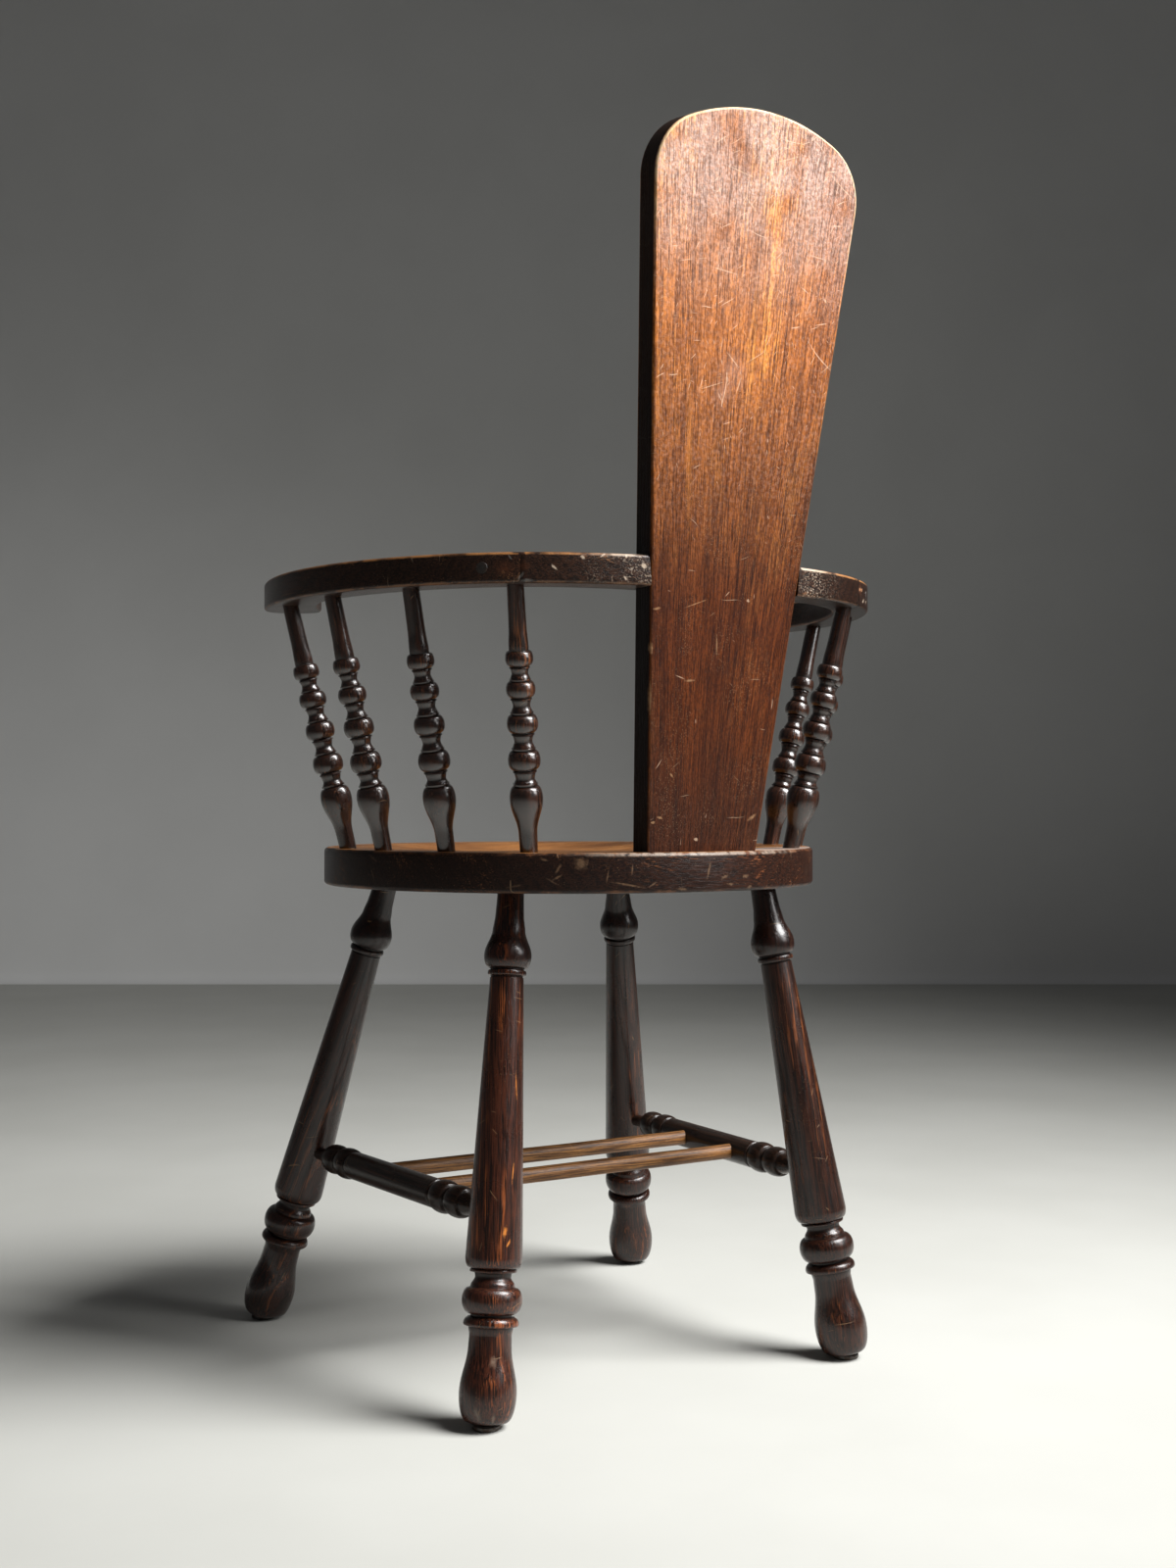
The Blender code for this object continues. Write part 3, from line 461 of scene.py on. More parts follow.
def plaster(name, pale, shade):
    """Matt paint with very slight clouds, see-through from behind."""
    material, tree = new_material(name)
    place = put(tree, "TexCoord", gives="Object")
    colour = tint(ease(cloud(place, 3.5, 5), 0.3, 0.7), shade, pale)
    rough = cloud(place, 180, 2) * 0.1 + 0.72
    paint = put(tree, "BsdfPrincipled", {"Base Color": colour, "Roughness": rough})
    behind = put(tree, "NewGeometry", gives="Backfacing")
    seen = put(tree, "MixShader", {0: behind, 1: paint, 2: put(tree, "BsdfTransparent")})
    put(tree, "OutputMaterial", {"Surface": seen})
    return material


paints = (plaster("floor_paint", rgb(0.53, 0.53, 0.495), rgb(0.50, 0.50, 0.465)),
          plaster("wall_paint", rgb(0.80, 0.80, 0.785), rgb(0.77, 0.77, 0.755)))
print("paints:", [paint.name for paint in paints])

# %% [markdown]
# ## Floor and backdrop
#
# Two planes would meet in a hard line. One sheet serves for both instead: a straight profile with a
# small curve at the foot of the wall, drawn out sideways.

# %% Sheet
FLOOR_BACK, FLOOR_FRONT = 3.35, -9.0
WALL_HEIGHT = 6.0
COVE_RADIUS = 0.03
COVE_STEPS = 12
SHEET_HALF_WIDTH = 9.0

profile = [(FLOOR_FRONT, 0.0)]
for step in range(COVE_STEPS + 1):
    turn = step / COVE_STEPS * math.pi / 2
    profile.append((FLOOR_BACK - COVE_RADIUS * (1 - math.sin(turn)), COVE_RADIUS * (1 - math.cos(turn))))
profile.append((FLOOR_BACK, WALL_HEIGHT))
corners = []
for ahead, height in profile:
    for side in (-SHEET_HALF_WIDTH, SHEET_HALF_WIDTH):
        corners.append(away * ahead + right * side + Vector((0, 0, height)))
faces = [(row, row + 1, row + 3, row + 2) for row in range(0, 2 * (len(profile) - 1), 2)]
sheet_mesh = bpy.data.meshes.new("floor_and_wall")
sheet_mesh.from_pydata(corners, [], faces)
sheet_mesh.shade_smooth()
for paint in paints:
    sheet_mesh.materials.append(paint)
for polygon in list(sheet_mesh.polygons)[1:]:
    polygon.material_index = 1
sheet = bpy.data.objects.new("floor_and_wall", sheet_mesh)
scene.collection.objects.link(sheet)
sheet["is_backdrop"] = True
print(f"floor and wall: {len(faces)} faces, wall {FLOOR_BACK} m behind the chair")

# %% [markdown]
# ## Light
#
# The chair's shadow falls to the left and a little away, so the main light stands high on the right and
# slightly towards the camera. A tall panel below it on the same side gives the soft sheen on the upper
# plank. Small lamps would draw hard shadows, so both are wide area lights, and a weak grey surround
# fills the shadows.

# %% Lights
LIGHT_AIM = Vector((0, 0, 0.5))


def softbox(name, turn, rise, distance, width, height, power, spread):
    """A rectangular light that faces the chair. turn is from the picture's right towards the camera and
    rise is up from the level. Both are in degrees, like the spread."""
    light = bpy.data.lights.new(name, "AREA")
    light.shape = "RECTANGLE"
    light.size, light.size_y = width, height
    light.energy = power
    light.spread = math.radians(spread)
    turn, rise = math.radians(turn), math.radians(rise)
    level = right * math.cos(turn) - away * math.sin(turn)
    towards = level * math.cos(rise) + Vector((0, 0, math.sin(rise)))
    lamp = bpy.data.objects.new(name, light)
    lamp.location = LIGHT_AIM + towards * distance
    lamp.rotation_euler = towards.to_track_quat("Z", "Y").to_euler()
    scene.collection.objects.link(lamp)
    lamp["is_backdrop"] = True


softbox("key_light", turn=19, rise=47, distance=2.3, width=1.3, height=1.3, power=47.5, spread=98)
softbox("side_panel", turn=24, rise=19, distance=2.1, width=0.7, height=0.9, power=7, spread=130)
world = bpy.data.worlds.new("grey_surround")
world.use_nodes = True
world.node_tree.nodes["Background"].inputs["Color"].default_value = rgb(0.05, 0.05, 0.052)
scene.world = world
print("key light, side panel and surround set")

# %% [markdown]
# ## A place in the tree
#
# Object coordinates follow a piece's own grain, which always runs along its local Z. Used as they are,
# they would give every leg the same figure. The object's index therefore moves and turns them, so that
# each piece is cut from another part of the tree, and a slant leans the tree's heart away from the
# piece's axis.

# %% Coordinates of a piece
PIECE_STEP = 0.61           # metres along the tree from one piece to the next


def piece_places(tree, heart, spin, slant, run):
    """A piece's own coordinates, the shift to its part of the tree, and its coordinates in that tree."""
    own = put(tree, "ObjectInfo", gives="Object Index")
    here = put(tree, "TexCoord", gives="Object")
    shift = combine(*heart, own * PIECE_STEP)
    spun = turned(run(here) if run else here, own * spin, "Z")
    return here, shift, vector("ADD", turned(spun, slant, "X"), shift)


SCRATCH_LAYERS = ((0.022, 0.3), (0.012, 1.7))       # spacing in metres, and a shift that parts the layers


def scratch_lines(place, share):
    """Coarse and fine scratches together."""
    lines = 0.0
    for spacing, seed in SCRATCH_LAYERS:
        shifted = vector("ADD", place, (seed, seed, seed))
        layer = use(scratch_group, Place=shifted, Spacing=spacing, Share=share)
        lines = calc("MAXIMUM", lines, layer["Mask"])
    return lines


print("coordinates and scratches ready")

# %% [markdown]
# ## Old varnish on stained wood
#
# Every wooden piece has the same layers: the wood's own figure, a dark stain in it, places where the
# stain is worn off, flecks where it has left the hard late wood of the rings, dirt in the pores, rubbed
# and chipped edges, scratches, dust, and dirt with painted shade in the hollows. The varnish on top is
# the coat of the Principled shader, thinner where the piece is worn. One function builds these layers
# from a few values, so that each kind of piece can have its own colours and its own history.

# %% Varnished wood
# Fine stipple, partly speckle in the varnish and partly a painted sparkle of its sheen
STIPPLE_SPARKLE_DYE = rgb(0.4, 0.37, 0.36)
PORE = rgb(0.22, 0.17, 0.15)
# Colour of the dirt and painted shade that darken coves and other dips
HOLLOW_DIRT_AND_SHADE = rgb(0.006, 0.004, 0.0032)
BUMP_DEPTH = 0.0006


def varnished_wood(name, stain, wood, worn, bare, heart, spin=2.4, slant=0.0, ring_width=0.005,
                   wander=0.008, wear=0.3, fleck=0.0, rub=0.35, chips=0.2, scratch=0.25, dust=0.15,
                   pores=0.5, stipple_and_sparkle=0.2, dirt_and_shade=0.7, gloss=0.3, shine=0.5, coat=0.3, coat_rough=0.14, bump=0.3,
                   crackle=0.25, run=None, ground=None, marks=None):
    """Stained and varnished wood. run bends the grain, ground changes the colours under the damage and
    marks adds to it."""
    material, tree = new_material(name)
    here, shift, place = piece_places(tree, heart, spin, slant, run)
    proud = put(tree, "Attribute", gives="Fac", attribute_name="proud")
    figure = use(grain_group, Place=place, Ring_Width=ring_width, Wander=wander)
    rings, streaks = figure["Rings"], figure["Streaks"]
    worn_off = use(wear_group, Place=place, Rings=rings, Streaks=streaks, Proud=proud, Amount=wear)["Mask"]
    edges = use(edge_group, Place=place, Proud=proud, Rub=rub, Chips=chips)
    lines = scratch_lines(vector("ADD", here, shift), scratch)
    skin = use(crackle_group, Place=place, Dust=dust)
    # Dirt and painted shade: darker, rougher and with less coat where the surface dips below its neighbours
    hollow_dirt_and_shade = ease(proud * -1.0, 0.05, 0.6) * dirt_and_shade

    colour = tint(ease(rings * -0.45 + streaks, -0.2, 0.7), stain, wood)
    colour = tint(worn_off, colour, worn, 0.85)
    late_wood = ease(rings, 0.62, 0.9) * ease(streaks, 0.2, 0.7)
    colour = tint(late_wood * ease(cloud(place, 30, 3, (1, 1, 0.3)), 0.5, 0.62), colour, worn, fleck)
    colour = ground(here, colour) if ground else colour
    # Fine dark stipple: partly speckle in the varnish, partly painted sparkle in place of the sheen's glints
    stipple_sparkle_mask = ease(cloud(place, 620, 3, (1, 1, 0.55)), 0.40, 0.62)
    for mask, over, share, way in (
            (stipple_sparkle_mask, STIPPLE_SPARKLE_DYE, stipple_and_sparkle, "MULTIPLY"), (figure["Pores"], PORE, pores, "MULTIPLY"),
            (edges["Rubbed"], worn, 0.7, "MIX"), (edges["Chipped"], bare, 1.0, "MIX"),
            (lines, bare, 0.4, "MIX"), (skin["Specks"], bare, 0.25, "MIX"), (hollow_dirt_and_shade, HOLLOW_DIRT_AND_SHADE, 1.0, "MIX")):
        colour = tint(mask, colour, over, share, way)
    colour = marks(here, proud, colour) if marks else colour

    rough = worn_off * 0.1 + gloss + (cloud(place, 35, 4) - 0.5) * 0.16
    rough = rough + calc("MAXIMUM", edges["Chipped"], hollow_dirt_and_shade) * 0.3
    relief = streaks * 0.3 - figure["Pores"] * 0.5 - lines - edges["Chipped"] * 1.5
    relief = relief + skin["Height"] * crackle
    ripple = put(tree, "Bump", {"Height": relief, "Strength": bump, "Distance": BUMP_DEPTH})
    coat_left = calc("MAXIMUM", worn_off, hollow_dirt_and_shade) * (-0.6 * coat) + coat
    shader = put(tree, "BsdfPrincipled", {
        "Base Color": colour, "Roughness": rough, "Normal": ripple, "Specular IOR Level": shine,
        "Coat Weight": coat_left, "Coat Roughness": coat_rough})
    put(tree, "OutputMaterial", {"Surface": shader})
    return material


print("varnished wood ready")

# %% [markdown]
# ## Turned profiles
#
# Legs, spindles and stretchers come off a lathe. A profile is a short list of stations, and each says
# how the tool got there: straight, swelling up to a crest, rolling off one, or in an even sway. A drawn
# curve would serve as well, but stations are sizes that can be read and measured.

# %% Profiles
STRAIGHT, TO_CREST, FROM_CREST, SWAY = "straight", "to crest", "from crest", "sway"
CURVE_STEPS = 9


def turning(stations):
    """(radius, height) points in metres from stations (height mm, radius mm, way)."""
    points = []
    for height, radius, way in stations:
        if not points or way == STRAIGHT:
            points.append((radius, height))
            continue
        old_radius, old_height = points[-1]
        for step in range(1, CURVE_STEPS + 1):
            part = step / CURVE_STEPS
            turn = part * math.pi / 2
            if way == TO_CREST:
                across, along = math.sin(turn), 1 - math.cos(turn)
            elif way == FROM_CREST:
                across, along = 1 - math.cos(turn), math.sin(turn)
            else:
                across, along = (1 - math.cos(part * math.pi)) / 2, part
            points.append((old_radius + across * (radius - old_radius),
                           old_height + along * (height - old_height)))
    return np.array(points) / 1000


print("a curve has", CURVE_STEPS, "steps")

# %% [markdown]
# ## Spinning a profile
#
# The Screw modifier could spin a profile, but the mesh has to remember how proud each ring stands of
# its neighbours, from -1 in a cove to 1 on a crest, for the wear and for the dirt and painted shade in
# the coves. So the rings are worked out here: one loop of points for each point of the profile, and
# quads between the loops. Proud is the radius less its mean over a short stretch of the profile.

# %% Lathe
SHARP_ANGLE = math.radians(38)
PROUD_WINDOW = 0.007        # half the stretch over which the mean is taken
PROUD_FULL = 0.0028         # a ring that stands so far over its mean counts as 1
PROUD_SAMPLES = 800


def smooth_mesh(name, points, faces):
    """A mesh with smooth shading that breaks at sharp edges."""
    mesh = bpy.data.meshes.new(name)
    mesh.from_pydata(points, [], faces)
    mesh.shade_smooth()
    mesh.set_sharp_from_angle(angle=SHARP_ANGLE)
    return mesh


def keep_proud(mesh, values):
    """Stores how proud each vertex stands, for the shaders."""
    stored = mesh.attributes.get("proud") or mesh.attributes.new("proud", "FLOAT", "POINT")
    stored.data.foreach_set("value", np.array(values, np.float32))


def band_faces(loops, count):
    """Quads that join each loop of points to the next."""
    faces = []
    for first in range(0, (loops - 1) * count, count):
        for place in range(count):
            beside = (place + 1) % count
            faces.append((first + place, first + beside, first + count + beside, first + count + place))
    return faces


def lathe(name, points, sides):
    """Spins (radius, height) points round Z into a closed mesh."""
    radii, heights = points.T
    turns = np.arange(sides) * math.tau / sides
    rings = np.stack([np.outer(radii, np.cos(turns)), np.outer(radii, np.sin(turns)),
                      np.repeat(heights[:, None], sides, 1)], 2)
    last = (len(points) - 1) * sides
    ends = tuple(reversed(range(sides))), tuple(range(last, last + sides))
    mesh = smooth_mesh(name, rings.reshape(-1, 3), [ends[0], *band_faces(len(points), sides), ends[1]])
    run = np.concatenate([[0], np.cumsum(np.linalg.norm(np.diff(points, axis=0), axis=1))])
    even = np.linspace(0, run[-1], PROUD_SAMPLES)
    even_radii = np.interp(even, run, radii)
    near = [even_radii[abs(even - place) < PROUD_WINDOW].mean() for place in run]
    keep_proud(mesh, np.repeat(np.clip((radii - near) / PROUD_FULL, -1, 1), sides))
    return mesh


print("lathe ready")

# %% [markdown]
# ## Placing pieces
#
# A turned piece lies along an axis of the CAD model, and the axis is measured from the CAD node's own
# points. Each finished mesh becomes an object that rides on the chair's one body and takes the place of
# its CAD node. The object's index is its number in the order of making, which the finishes use.

# %% Placing helpers
END_BAND = 0.0005           # points so near the furthest one belong to that end
pieces_made = []


def add_piece(name, mesh, material, node, matrix):
    """Puts a finished mesh in the scene in place of its CAD node."""
    piece = bpy.data.objects.new(name, mesh)
    scene.collection.objects.link(piece)
    piece.matrix_world = matrix
    mesh.materials.append(material)
    pieces_made.append(piece)
    piece.pass_index = len(pieces_made)
    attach(piece, "root")
    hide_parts(node)
    return piece


def aimed(start, end):
    """Matrix that puts the origin at one point with Z running to another."""
    turn = (end - start).to_track_quat("Z", "Y").to_matrix().to_4x4()
    return Matrix.Translation(start) @ turn


def turned_ends(node, rough_axis):
    """Middles of a turned CAD node's two ends, from its points that lie furthest along its axis."""
    points = np.unique(np.round([vertex.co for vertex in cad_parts[node].data.vertices], 6), axis=0)
    axis = Vector(rough_axis)
    for _ in range(3):
        along = points @ np.array(axis.normalized())
        near = Vector(points[along < along.min() + END_BAND].mean(axis=0))
        far = Vector(points[along > along.max() - END_BAND].mean(axis=0))
        axis = far - near
    return near, far


def at_height(start, end, height):
    """Point of the line through two points at a height over the floor."""
    return start + (end - start) * (height - start.z) / (end.z - start.z)


print("placing helpers ready")

# %% [markdown]
# ## Finish of the legs
#
# The stain has gone nearly black with age, and orange wood shows through in streaks along the grain and
# in V shapes, because the wood was not split quite along the leg. The slant of the grain gives both.
# The back leg on the sitter's left is redder and has single scuffs. One material serves all four legs:
# it knows that leg by its number, and the scuffs are placed on its surface unrolled into a flat strip.

# %% Leg finish
NEAR_LEG = 3                # number of the leg with scuffs among the pieces
NEAR_TURN = 1.90            # angle round that leg at which the marks are measured
UNROLL_RADIUS = 0.021
RAW = (rgb(0.62, 0.21, 0.04), 0.85, 0.8)
DULL = (rgb(0.26, 0.19, 0.14), 0.55, 1.2)
# Each mark: its place round the leg and up it, half its width and height in mm, its lean and its kind
LEG_MARKS = (
    (6, 150, 2, 6, 5, RAW), (9, 141, 1.2, 4, 25, RAW), (12, 196, 0.7, 11, 5, RAW),
    (14, 262, 0.7, 14, -5, RAW), (2, 52, 5, 6, 0, DULL), (-9, 13, 8, 3, 70, DULL),
    (4, 10, 6, 2.2, 90, DULL))


def is_near_leg(here):
    """1 on the leg with the scuffs and 0 on the others."""
    return calc("COMPARE", put(tree_of(here), "ObjectInfo", gives="Object Index"), NEAR_LEG, 0.1)


def leg_ground(here, colour):
    """Darker from the top ring up, next to the seat. One leg is redder than the others."""
    colour = dyed(colour, tint(is_near_leg(here), rgb(0.8, 0.78, 0.8), rgb(1.3, 1.16, 1.12)))
    return tint(ease(split(here)[2], 0.33, 0.37), colour, rgb(0.5, 0.45, 0.45), way="MULTIPLY")


def leg_marks(here, proud, colour):
    """Single scuffs of one leg."""
    x, y, up = split(turned(here, -NEAR_TURN, "Z"))
    unrolled = combine(calc("ARCTAN2", y, x) * UNROLL_RADIUS, 0.0, up)
    return tint(is_near_leg(here), colour, lay_marks(unrolled, colour, LEG_MARKS))


leg_wood = varnished_wood(
    "leg_varnish", stain=rgb(0.009, 0.0042, 0.0032), wood=rgb(0.048, 0.015, 0.0075),
    worn=rgb(0.25, 0.076, 0.021), bare=rgb(0.42, 0.24, 0.11), heart=(0.030, 0.053), spin=2.86, slant=0.075,
    ring_width=0.0056, wander=0.01, wear=0.09, fleck=0.7, rub=0.1, chips=0.05, gloss=0.28, shine=0.36,
    ground=leg_ground, marks=leg_marks)
print("leg finish with", len(LEG_MARKS), "single scuffs")

# %% [markdown]
# ## Legs
#
# Each leg is one turning: a ball foot, an ankle under a sharp-edged collar ring, a bulge between a
# groove and a thin fillet, a cove, then a long taper that ends in a ring between two fine grooves, a
# bulb and a neck. The foot is measured from the floor and the top from the seat, so only the taper's
# length depends on the splay. The axis runs from the middle of the foot's glide to the middle of the
# tenon in the seat. The foot's end is planed level by lifting the points that lie too low.

# %% Leg pieces
LEG_SIDES = 64
FOOT_LEVEL = 0.004          # height of the planed ends over the floor
CORNERS = [(end, side) for end in ("front", "back") for side in ("left", "right")]
LEG_FOOT = (
    (4.3, 13.2, STRAIGHT), (5.2, 15.2, STRAIGHT), (27, 22.6, TO_CREST), (62, 17.1, SWAY),
    (70, 16.7, STRAIGHT), (76.6, 17.6, SWAY), (77.4, 20.9, STRAIGHT), (79.2, 21.8, TO_CREST),
    (84.4, 17.2, FROM_CREST), (84.8, 16.2, STRAIGHT), (86.0, 16.2, STRAIGHT), (86.4, 17.4, STRAIGHT),
    (97.0, 23.8, TO_CREST), (106.4, 18.6, FROM_CREST), (106.9, 17.6, STRAIGHT), (108.2, 17.3, STRAIGHT),
    (114.5, 14.2, SWAY), (117.6, 14.6, SWAY), (118.2, 18.0, STRAIGHT), (119.2, 18.6, TO_CREST),
    (120.4, 18.2, FROM_CREST), (120.9, 17.4, STRAIGHT), (121.4, 19.2, STRAIGHT), (129.5, 22.6, TO_CREST))
LEG_TOP = (
    (-70.5, 13.6, STRAIGHT), (-69.9, 12.9, STRAIGHT), (-69.2, 12.9, STRAIGHT), (-68.7, 14.9, STRAIGHT),
    (-66.6, 15.6, TO_CREST), (-64.6, 14.9, FROM_CREST), (-64.1, 13.6, STRAIGHT), (-63.3, 13.6, STRAIGHT),
    (-62.8, 14.6, STRAIGHT), (-52.5, 19.2, TO_CREST), (-31, 13.2, SWAY), (-22, 11.8, STRAIGHT),
    (-10, 11.1, STRAIGHT), (4, 10.7, STRAIGHT))


def glide_middle(end, side, height):
    """Point over the middle of a foot's glide."""
    low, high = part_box(f"foot_glide_{end}_{side}")
    return Vector(((low.x + high.x) / 2, (low.y + high.y) / 2, height))


for end, side in CORNERS:
    foot = glide_middle(end, side, FOOT_LEVEL)
    tenon = turned_ends(f"leg_{end}_{side}", (0, 0, 1))[1]
    floor_point = at_height(foot, tenon, 0.0)
    length = 1000 * (at_height(foot, tenon, SEAT_UNDERSIDE) - floor_point).length
    upper = [(length + height, radius, way) for height, radius, way in LEG_TOP]
    shape = lathe(f"turned_leg_{end}_{side}", turning([*LEG_FOOT, *upper]), LEG_SIDES)
    stand = aimed(floor_point, tenon)
    for vertex in shape.vertices:
        lift = FOOT_LEVEL - (stand @ vertex.co).z
        if lift > 0:
            vertex.co += stand.to_3x3().inverted() @ Vector((0, 0, lift))
    add_piece(f"turned_leg_{end}_{side}", shape, leg_wood, f"leg_{end}_{side}", stand)
    print(f"leg {end} {side}: {length:.0f} mm from floor to seat")

# %% [markdown]
# ## Spindles
#
# A bobbin spindle is a vase foot and four balls that shrink upwards, then a slim neck. In each gap a
# cove lies between two thin discs, and a fine groove parts each disc from its ball. Each gap follows
# one pattern, written as shares of the distance between two crests and of the balls' radii, because the
# turner repeated the same cuts on smaller and smaller balls. The varnish is thick and glossy here, with
# dirt and painted shade in the coves.

# %% Spindle finish and profile
spindle_wood = varnished_wood(
    "spindle_varnish", stain=rgb(0.010, 0.005, 0.0035), wood=rgb(0.045, 0.015, 0.0075),
    worn=rgb(0.22, 0.072, 0.022), bare=rgb(0.40, 0.23, 0.11), heart=(0.012, 0.02), ring_width=0.0045,
    wear=0.19, rub=0.0, chips=0.0, scratch=0.12, stipple_and_sparkle=0.1, dirt_and_shade=0.92, gloss=0.26, coat=1.0,
    coat_rough=0.15, crackle=0.1)
SPINDLE_FOOT = ((-6, 7.0, STRAIGHT), (1, 7.2, STRAIGHT), (16, 7.5, STRAIGHT), (44.0, 13.4, SWAY))
# Each ball: height of its crest, its radius, the radius of the cove over it, share of the gap where it ends
BALLS = ((44.0, 13.4, 7.6, 0.345), (74.5, 13.0, 7.2, 0.29), (104.0, 12.5, 6.8, 0.28),
         (131.5, 11.7, 6.5, 0.28))
TOP_BALL = (155.5, 11.1)
SPINDLE_NECK = 7.9


def spindle_stations(top):
    """Stations from below the seat's face to inside the bow, top mm up the axis."""
    stations = list(SPINDLE_FOOT)
    for (crest, radius, waist, edge), (next_crest, next_radius, *_) in zip(BALLS, (*BALLS[1:], TOP_BALL)):
        pattern = ((edge - 0.01, 0.72 * radius, FROM_CREST), (edge + 0.002, 0.62 * radius, STRAIGHT),
                   (edge + 0.018, 0.62 * radius, STRAIGHT), (edge + 0.024, 0.73 * radius, STRAIGHT),
                   (edge + 0.066, 0.74 * radius, STRAIGHT), (edge + 0.074, 0.67 * radius, STRAIGHT),
                   (0.53, waist, SWAY), (0.70, 0.66 * next_radius, SWAY),
                   (0.706, 0.74 * next_radius, STRAIGHT), (0.746, 0.73 * next_radius, STRAIGHT),
                   (0.752, 0.62 * next_radius, STRAIGHT), (0.768, 0.62 * next_radius, STRAIGHT),
                   (0.78, 0.72 * next_radius, STRAIGHT), (1.0, next_radius, TO_CREST))
        stations += [(crest + share * (next_crest - crest), size, way) for share, size, way in pattern]
    radius = TOP_BALL[1]
    return [*stations, (161.8, 0.80 * radius, FROM_CREST), (162.3, 0.70 * radius, STRAIGHT),
            (164.5, SPINDLE_NECK, STRAIGHT), (182, 7.1, SWAY), (top + 4, 6.7, STRAIGHT)]


print("spindle with", len(BALLS) + 1, "crests")

# %% [markdown]
# ## Spindles in their places
#
# Each spindle leans its own way from the seat's rim to the bow. The CAD node's two ends give that axis,
# and the profile is as long as the axis between the seat's face and the bow's underside.

# %% Spindle pieces
SPINDLE_SIDES = 48
for side in ("left", "right"):
    for number in range(1, 5):
        low, high = turned_ends(f"spindle_{side}_{number}", (0, 0, 1))
        start = at_height(low, high, SEAT_TOP)
        top = at_height(low, high, BOW_UNDERSIDE)
        stations = spindle_stations(1000 * (top - start).length)
        shape = lathe(f"bobbin_{side}_{number}", turning(stations), SPINDLE_SIDES)
        add_piece(f"bobbin_{side}_{number}", shape, spindle_wood,
                  f"spindle_{side}_{number}", aimed(start, top))
print(f"eight spindles, the last {1000 * (top - start).length:.0f} mm between seat and bow")

# %% [markdown]
# ## Side stretchers
#
# A stretcher joins the front and back leg on each side. From both ends a thin neck swells to a bead, a
# cove and a larger bead with a ring, and the long plain shaft runs between. Half of it is written down
# and the other half is its mirror image, so both ends are sure to match. It hardly sees wear, so it is
# nearly black.

# %% Stretcher finish and pieces
stretcher_wood = varnished_wood(
    "stretcher_varnish", stain=rgb(0.010, 0.0065, 0.005), wood=rgb(0.028, 0.014, 0.009),
    worn=rgb(0.12, 0.045, 0.02), bare=rgb(0.35, 0.22, 0.11), heart=(0.02, 0.01), wear=0.06, fleck=0.3,
    rub=0.0, chips=0.0, shine=0.12, coat=0.35, coat_rough=0.1)
STRETCHER_SIDES = 56
STRETCHER_START = 6         # where the CAD node ends, in mm from the axis of the leg
STRETCHER_HALF = (
    (STRETCHER_START, 5.6, STRAIGHT), (30, 5.7, STRAIGHT), (45.5, 9.2, SWAY), (46.2, 10.6, STRAIGHT),
    (55.4, 13.2, TO_CREST), (64.4, 10.4, FROM_CREST), (65.0, 9.6, STRAIGHT), (67.4, 9.2, SWAY),
    (69.4, 9.8, SWAY), (70.0, 11.0, STRAIGHT), (79.0, 13.8, TO_CREST), (87.4, 11.6, FROM_CREST),
    (88.0, 10.8, STRAIGHT), (90.4, 10.9, STRAIGHT), (91.0, 11.9, STRAIGHT), (93.5, 12.2, TO_CREST))
for side in ("left", "right"):
    near, far = turned_ends(f"side_stretcher_{side}", (0, 1, 0))
    beyond = (far - near).normalized() * STRETCHER_START / 1000
    start, end = near - beyond, far + beyond
    half = turning(STRETCHER_HALF)
    other = half[::-1] * (1, -1) + (0, (end - start).length)
    shape = lathe(f"turned_stretcher_{side}", np.concatenate([half, other]), STRETCHER_SIDES)
    add_piece(f"turned_stretcher_{side}", shape, stretcher_wood,
              f"side_stretcher_{side}", aimed(start, end))
    print(f"stretcher {side}: {1000 * (end - start).length:.0f} mm between the axes of its legs")

# %% [markdown]
# ## Cross rods
#
# Two plain rods join the stretchers. They look shaved by hand: their thickness varies a little and
# their section isn't quite round. A cylinder would look machined, so slow noise moves its points in and
# out. Shoes have rubbed the rods back to golden wood with dark streaks.

# %% Rod finish and pieces
rod_wood = varnished_wood(
    "rod_varnish", stain=rgb(0.07, 0.028, 0.009), wood=rgb(0.23, 0.10, 0.028), worn=rgb(0.36, 0.17, 0.05),
    bare=rgb(0.45, 0.29, 0.15), heart=(0.03, 0.01), ring_width=0.003, wander=0.012, wear=0.35, rub=0.0,
    chips=0.0, scratch=0.15, gloss=0.45, shine=0.3, coat=0.0)
ROD_RADIUS = 0.0068
ROD_LOOPS = 60
ROD_SIDES = 40
SHAVE_DEPTH = 0.06          # share of the radius
SHAVE_ROUND, SHAVE_ALONG = 40, 14


def shave(mesh, seed):
    """Moves points in or out from the axis by slow noise, as a drawknife leaves a rod."""
    for vertex in mesh.vertices:
        x, y, z = vertex.co
        spot = Vector((SHAVE_ROUND * x, SHAVE_ROUND * y, SHAVE_ALONG * z + seed))
        vertex.co.xy *= 1 + SHAVE_DEPTH * noise.noise(spot)


for seed, name in ((0.0, "front"), (7.0, "back")):
    start, end = turned_ends(f"cross_rod_{name}", (1, 0, 0))
    heights = np.linspace(0, (end - start).length, ROD_LOOPS)
    shape = lathe(f"shaved_rod_{name}", np.stack([np.full(ROD_LOOPS, ROD_RADIUS), heights], 1), ROD_SIDES)
    shave(shape, seed)
    add_piece(f"shaved_rod_{name}", shape, rod_wood, f"cross_rod_{name}", aimed(start, end))
    print(f"rod {name}: {1000 * heights[-1]:.0f} mm")

# %% [markdown]
# ## Foot glides
#
# Each foot stands on a dark steel dome that is nailed in. Rust and floor dirt dull its rim. Metal that
# is only metal looks new, so one patchy mask browns it, makes it less metallic and roughens it at the
# same places.

